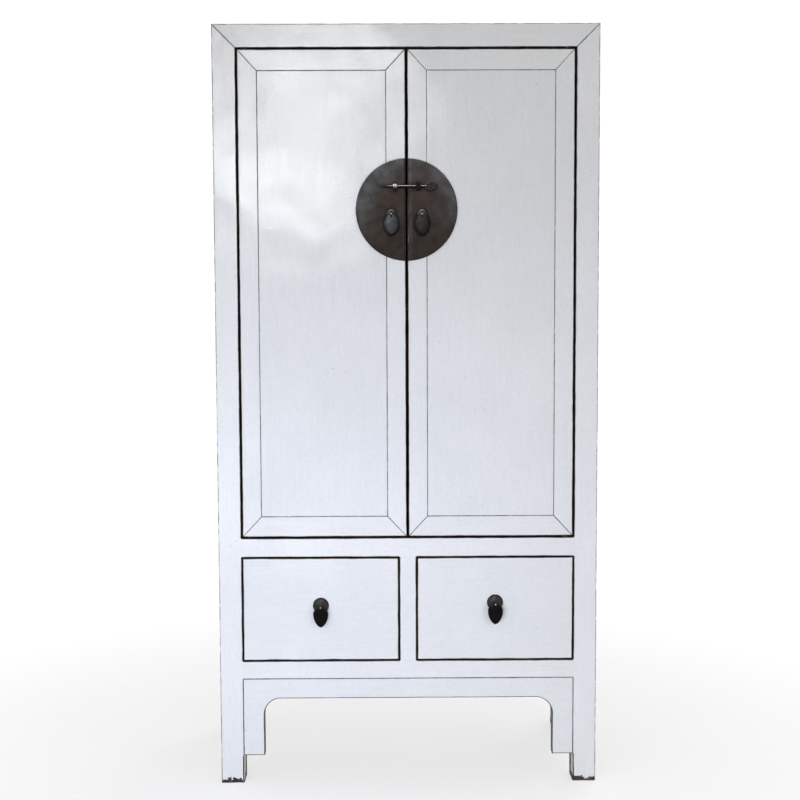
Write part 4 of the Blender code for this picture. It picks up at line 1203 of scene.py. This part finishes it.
def bolt_eye(side, side_name):
    """The thick double collar that the pin slides in, on its shank through plate and door."""
    node = f"bolt_eye_{side_name}"
    low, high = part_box(node)
    radius = (high.z - low.z) / 2
    centre = (low.y + radius, (low.z + high.z) / 2)
    x = (low.x + high.x) / 2
    half_width = (high.x - low.x) / 2
    middle_radius, half_wall = (radius + EYE_HOLE_RADIUS) / 2, (radius - EYE_HOLE_RADIUS) / 2
    profile = []
    steps = 32
    for i in range(steps):
        angle = 2 * math.pi * i / steps
        along = half_width * math.copysign(abs(math.sin(angle)) ** 0.8, math.sin(angle))
        reach = middle_radius + half_wall * math.copysign(abs(math.cos(angle)) ** 0.7, math.cos(angle))
        if math.cos(angle) > 0:
            groove = math.exp(-(along / (half_width * 0.22)) ** 2)
            reach -= 0.0011 * groove
        profile.append((reach, x + along))

    # On the copper eye this paints a highlight, a light band across its front middle; on the iron eye the same
    # band is darker
    def wear_and_painted_light(place):
        return 0.95 - abs(place.z - centre[1] - 0.001) / 0.010 if place.y < centre[0] else 0.0

    collar = turned(profile, "X", centre, sides=48, closed=True, wear_and_painted_light=wear_and_painted_light)
    clench = high.y - CLENCH_THICKNESS
    shank = [
        (SHANK_RADIUS, centre[0] + EYE_HOLE_RADIUS + 0.001), (SHANK_RADIUS, clench), (CLENCH_RADIUS, clench),
        (CLENCH_END_RADIUS, high.y),
    ]
    shape = merged(collar, turned(shank, "Y", (x, centre[1]), sides=24))
    metal(f"{node}_metal", shape, f"door_{side_name}", "copper" if side < 0 else "iron", [node], smooth=50)


def leaf_outline(start, end, half_width, centre_z):
    """A pointed leaf with two scallops each side, from its stalk to its tip."""
    upper = []
    steps = 36
    for i in range(steps + 1):
        share = i / steps
        swell = math.sin(math.pi * share**0.75) ** 0.62
        notches = [(0.20, 0.34, 0.07), (0.14, 0.66, 0.06)]
        lobe = 1 - sum(cut * math.exp(-(((share - at) / spread) ** 2)) for cut, at, spread in notches)
        width = half_width * swell * lobe
        upper.append((start + (end - start) * share, max(width, 0.0013 if share < 0.5 else 0.0004)))
    return [(a, centre_z + b) for a, b in upper] + [(a, centre_z - b) for a, b in reversed(upper)]


def bolt_shaft(low, high, head_start):
    """The pin's slightly bent, pointed shaft, which runs a little way into its head."""
    centre_y, centre_z = (low.y + high.y) / 2, (low.z + high.z) / 2
    radius = (high.y - low.y) / 2
    steps, sides = 60, 16

    def sway(x):
        """How far up the shaft's middle line strays."""
        return 0.10 * radius * ripple((x, 0.0, 0.0), 90.0, 3) * min(1.0, (x - low.x) / 0.02)

    # Painted highlight: a thin light line along the shaft's front, a little above its middle, fainter toward the
    # tip
    def wear_and_painted_light(place):
        angle = math.atan2(place.z - centre_z - sway(place.x), place.y - centre_y)
        toward_front = max(0.0, math.cos(angle - 0.9 * math.pi)) ** 6
        return toward_front * min(1.0, 0.25 + (place.x - low.x) / 0.06)

    rings = []
    for i in range(steps + 1):
        x = low.x + (head_start + 0.004 - low.x) * i / steps
        taper = min(1.0, 0.22 + 0.78 * ((x - low.x) / 0.034) ** 0.6)
        rings.append(circle("X", (centre_y, centre_z + sway(x)), radius * taper * 0.98, x, sides))
    metal("bolt_pin_shaft", skin(rings, wear_and_painted_light), "bolt", "brass", ["bolt_pin"], smooth=60)


def bolt_pin():
    """The pin: a shaft whose head is a leaf pierced by five teardrops."""
    low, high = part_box("bolt_pin")
    centre_y, centre_z = (low.y + high.y) / 2, (low.z + high.z) / 2
    head_start = high.x - BOLT_HEAD_LENGTH
    bolt_shaft(low, high, head_start)

    curve = bpy.data.curves.new("bolt_leaf", "CURVE")
    curve.dimensions = "2D"
    curve.fill_mode = "BOTH"
    curve.extrude = 0.0009
    curve.bevel_depth = 0.0005
    curve.bevel_resolution = 3
    half_width = (high.z - low.z) / 2 - curve.bevel_depth
    add_loop(curve, leaf_outline(head_start, high.x, half_width, centre_z))
    # The holes: share of the way along the head, height over its middle, length, half width and tilt
    holes = []
    for sign in (-1, 1):
        holes.append((0.50, sign * 0.0048, 0.0036, 0.0019, sign * 0.5))
        holes.append((0.22, sign * 0.0040, 0.0024, 0.0013, sign * 0.9))
    holes.append((0.80, 0.0, 0.0030, 0.0013, 0.0))
    for share, up, length, hole_half_width, tilt in holes:
        place = (head_start + BOLT_HEAD_LENGTH * share, centre_z + up)
        add_loop(curve, teardrop(*place, length, hole_half_width, tilt))
    holder = bpy.data.objects.new("bolt_leaf_curve", curve)
    mesh = bpy.data.meshes.new_from_object(holder)
    bpy.data.objects.remove(holder)
    shape = bmesh.new()
    shape.from_mesh(mesh)
    bpy.data.meshes.remove(mesh)
    bmesh.ops.remove_doubles(shape, verts=shape.verts, dist=0.000005)
    upright = Matrix.Translation((0, centre_y, 0)) @ Matrix.Rotation(math.pi / 2, 4, "X")
    bmesh.ops.transform(shape, matrix=upright, verts=shape.verts)
    bmesh.ops.recalc_face_normals(shape, faces=shape.faces)
    metal("bolt_pin_leaf", shape, "bolt", "leaf", ["bolt_pin"], smooth=40)


def teardrop(x, z, length, half_width, tilt):
    """A small pointed hole, as points of a closed line."""
    points = []
    steps = 14
    for i in range(steps):
        angle = 2 * math.pi * i / steps
        a = length * math.cos(angle)
        b = half_width * math.sin(angle) * (1 - 0.55 * math.cos(angle))
        across = a * math.cos(tilt) - b * math.sin(tilt)
        up = a * math.sin(tilt) + b * math.cos(tilt)
        points.append((x + across, z + up))
    return points


def add_loop(curve, points):
    spline = curve.splines.new("POLY")
    spline.points.add(len(points) - 1)
    for item, (a, b) in zip(spline.points, points):
        item.co = (a, b, 0.0, 1.0)
    spline.use_cyclic_u = True


def hardware():
    for side, side_name in ((-1, "left"), (1, "right")):
        face_plate(side, side_name)
        bolt_eye(side, side_name)
        for kind in ("door", "drawer"):
            for piece in (rosette, staple, drop):
                piece(f"{kind}_{side_name}")
    bolt_pin()


# ---------------------------------------------------------------- stage, light and camera


def stage():
    shape = bmesh.new()
    bmesh.ops.create_circle(shape, cap_ends=True, segments=96, radius=9.0)
    mesh = bpy.data.meshes.new("floor")
    shape.to_mesh(mesh)
    shape.free()
    mesh.materials.append(new_material("floor_white", floor_white))
    floor = bpy.data.objects.new("floor", mesh)
    bpy.context.scene.collection.objects.link(floor)


def surroundings():
    """An even white world: what the camera sees of it is brighter than the light that it gives."""
    world = bpy.data.worlds.new("studio")
    bpy.context.scene.world = world
    world.use_nodes = True
    tree = world.node_tree
    tree.nodes.clear()
    light = add_node(tree, "ShaderNodeBackground", {"Color": (1.0, 0.995, 0.98, 1.0), "Strength": 0.42})
    seen = add_node(tree, "ShaderNodeBackground", {"Color": (1.0, 1.0, 1.0, 1.0), "Strength": 1.05})
    by_camera = add_node(tree, "ShaderNodeLightPath").outputs["Is Camera Ray"]
    mix = add_node(tree, "ShaderNodeMixShader", {0: by_camera, 1: light.outputs[0], 2: seen.outputs[0]})
    output = add_node(tree, "ShaderNodeOutputWorld")
    tree.links.new(mix.outputs[0], output.inputs[0])


# The lights: place, target, size, power and colour. The windows, the ceiling and the strip show in gloss alone.
# A fill lights things up and doesn't show in gloss. The back light does both.
LIGHTS = {
    "window_top": ((-0.55, -6.2, 2.76), (-0.25, FRONT, 1.70), (0.90, 0.62), 17.0, (0.98, 1.0, 0.98)),
    "window_left": ((-0.80, -6.2, 2.13), (-0.35, FRONT, 1.52), (0.95, 0.46), 15.5, (0.97, 1.0, 0.98)),
    "window_low": ((-0.56, -6.2, 1.76), (-0.20, FRONT, 1.45), (0.40, 0.26), 4.2, (1.0, 0.98, 0.94)),
    "low_fill": ((-0.42, -1.70, 0.52), (-0.36, FRONT, 0.52), (1.1, 0.45), 15.5, (0.69, 0.75, 0.97)),
    "left_fill": ((-2.6, -2.2, 1.6), (0.0, FRONT, 1.0), (1.5, 2.0), 12.0, (1.0, 0.98, 0.98)),
    "right_fill": ((2.0, -2.4, 0.9), (0.4, FRONT, 0.8), (1.0, 1.0), 13.0, (1.0, 0.99, 1.0)),
    "ceiling": ((-0.2, -2.3, 3.3), (0.0, FRONT, 1.0), (2.2, 0.8), 34.0, (1.0, 1.0, 1.0)),
    "left_strip": ((-3.0, -2.4, 2.0), (0.0, FRONT, 1.3), (0.5, 1.4), 12.0, (1.0, 1.0, 1.0)),
    "back_light": ((2.2, 3.8, 3.0), (0.0, 0.2, 1.0), (2.6, 2.6), 75.0, (1.0, 1.0, 1.0)),
}


def lights():
    for name, (place, target, size, power, colour) in LIGHTS.items():
        data = bpy.data.lights.new(name, "AREA")
        data.shape = "RECTANGLE"
        data.size, data.size_y = size
        data.energy = power
        data.color = colour
        light = bpy.data.objects.new(name, data)
        bpy.context.scene.collection.objects.link(light)
        light.location = place
        light.rotation_euler = (Vector(target) - Vector(place)).to_track_quat("-Z", "Y").to_euler()
        light.visible_diffuse = name.endswith("_fill") or name == "back_light"
        light.visible_glossy = not name.endswith("_fill")


def camera():
    """A viewpoint a little left of the middle and at the doors' height, looking slightly down."""
    data = bpy.data.cameras.new("camera")
    data.sensor_width = 36.0
    data.lens = 59.22
    obj = bpy.data.objects.new("camera", data)
    bpy.context.scene.collection.objects.link(obj)
    pitch, yaw, roll = (math.radians(angle) for angle in (-4.327, -0.382, 0.228))
    turn = Matrix.Rotation(yaw, 4, "Z") @ Matrix.Rotation(pitch, 4, "X") @ Matrix.Rotation(roll, 4, "Y")
    place = Matrix.Translation((-0.040, FRONT - 3.274, 1.225))
    obj.matrix_world = place @ turn @ Matrix.Rotation(math.pi / 2, 4, "X")
    bpy.context.scene.camera = obj


def main():
    bpy.context.scene.view_settings.view_transform = "Standard"
    camera()
    surroundings()
    lights()
    stage()
    carcass()
    for side, side_name, seed in ((-1, "left", 50), (1, "right", 60)):
        door(side, side_name, seed)
        drawer_front(side_name, seed + 7)
    inner_boards()
    hardware()


main()
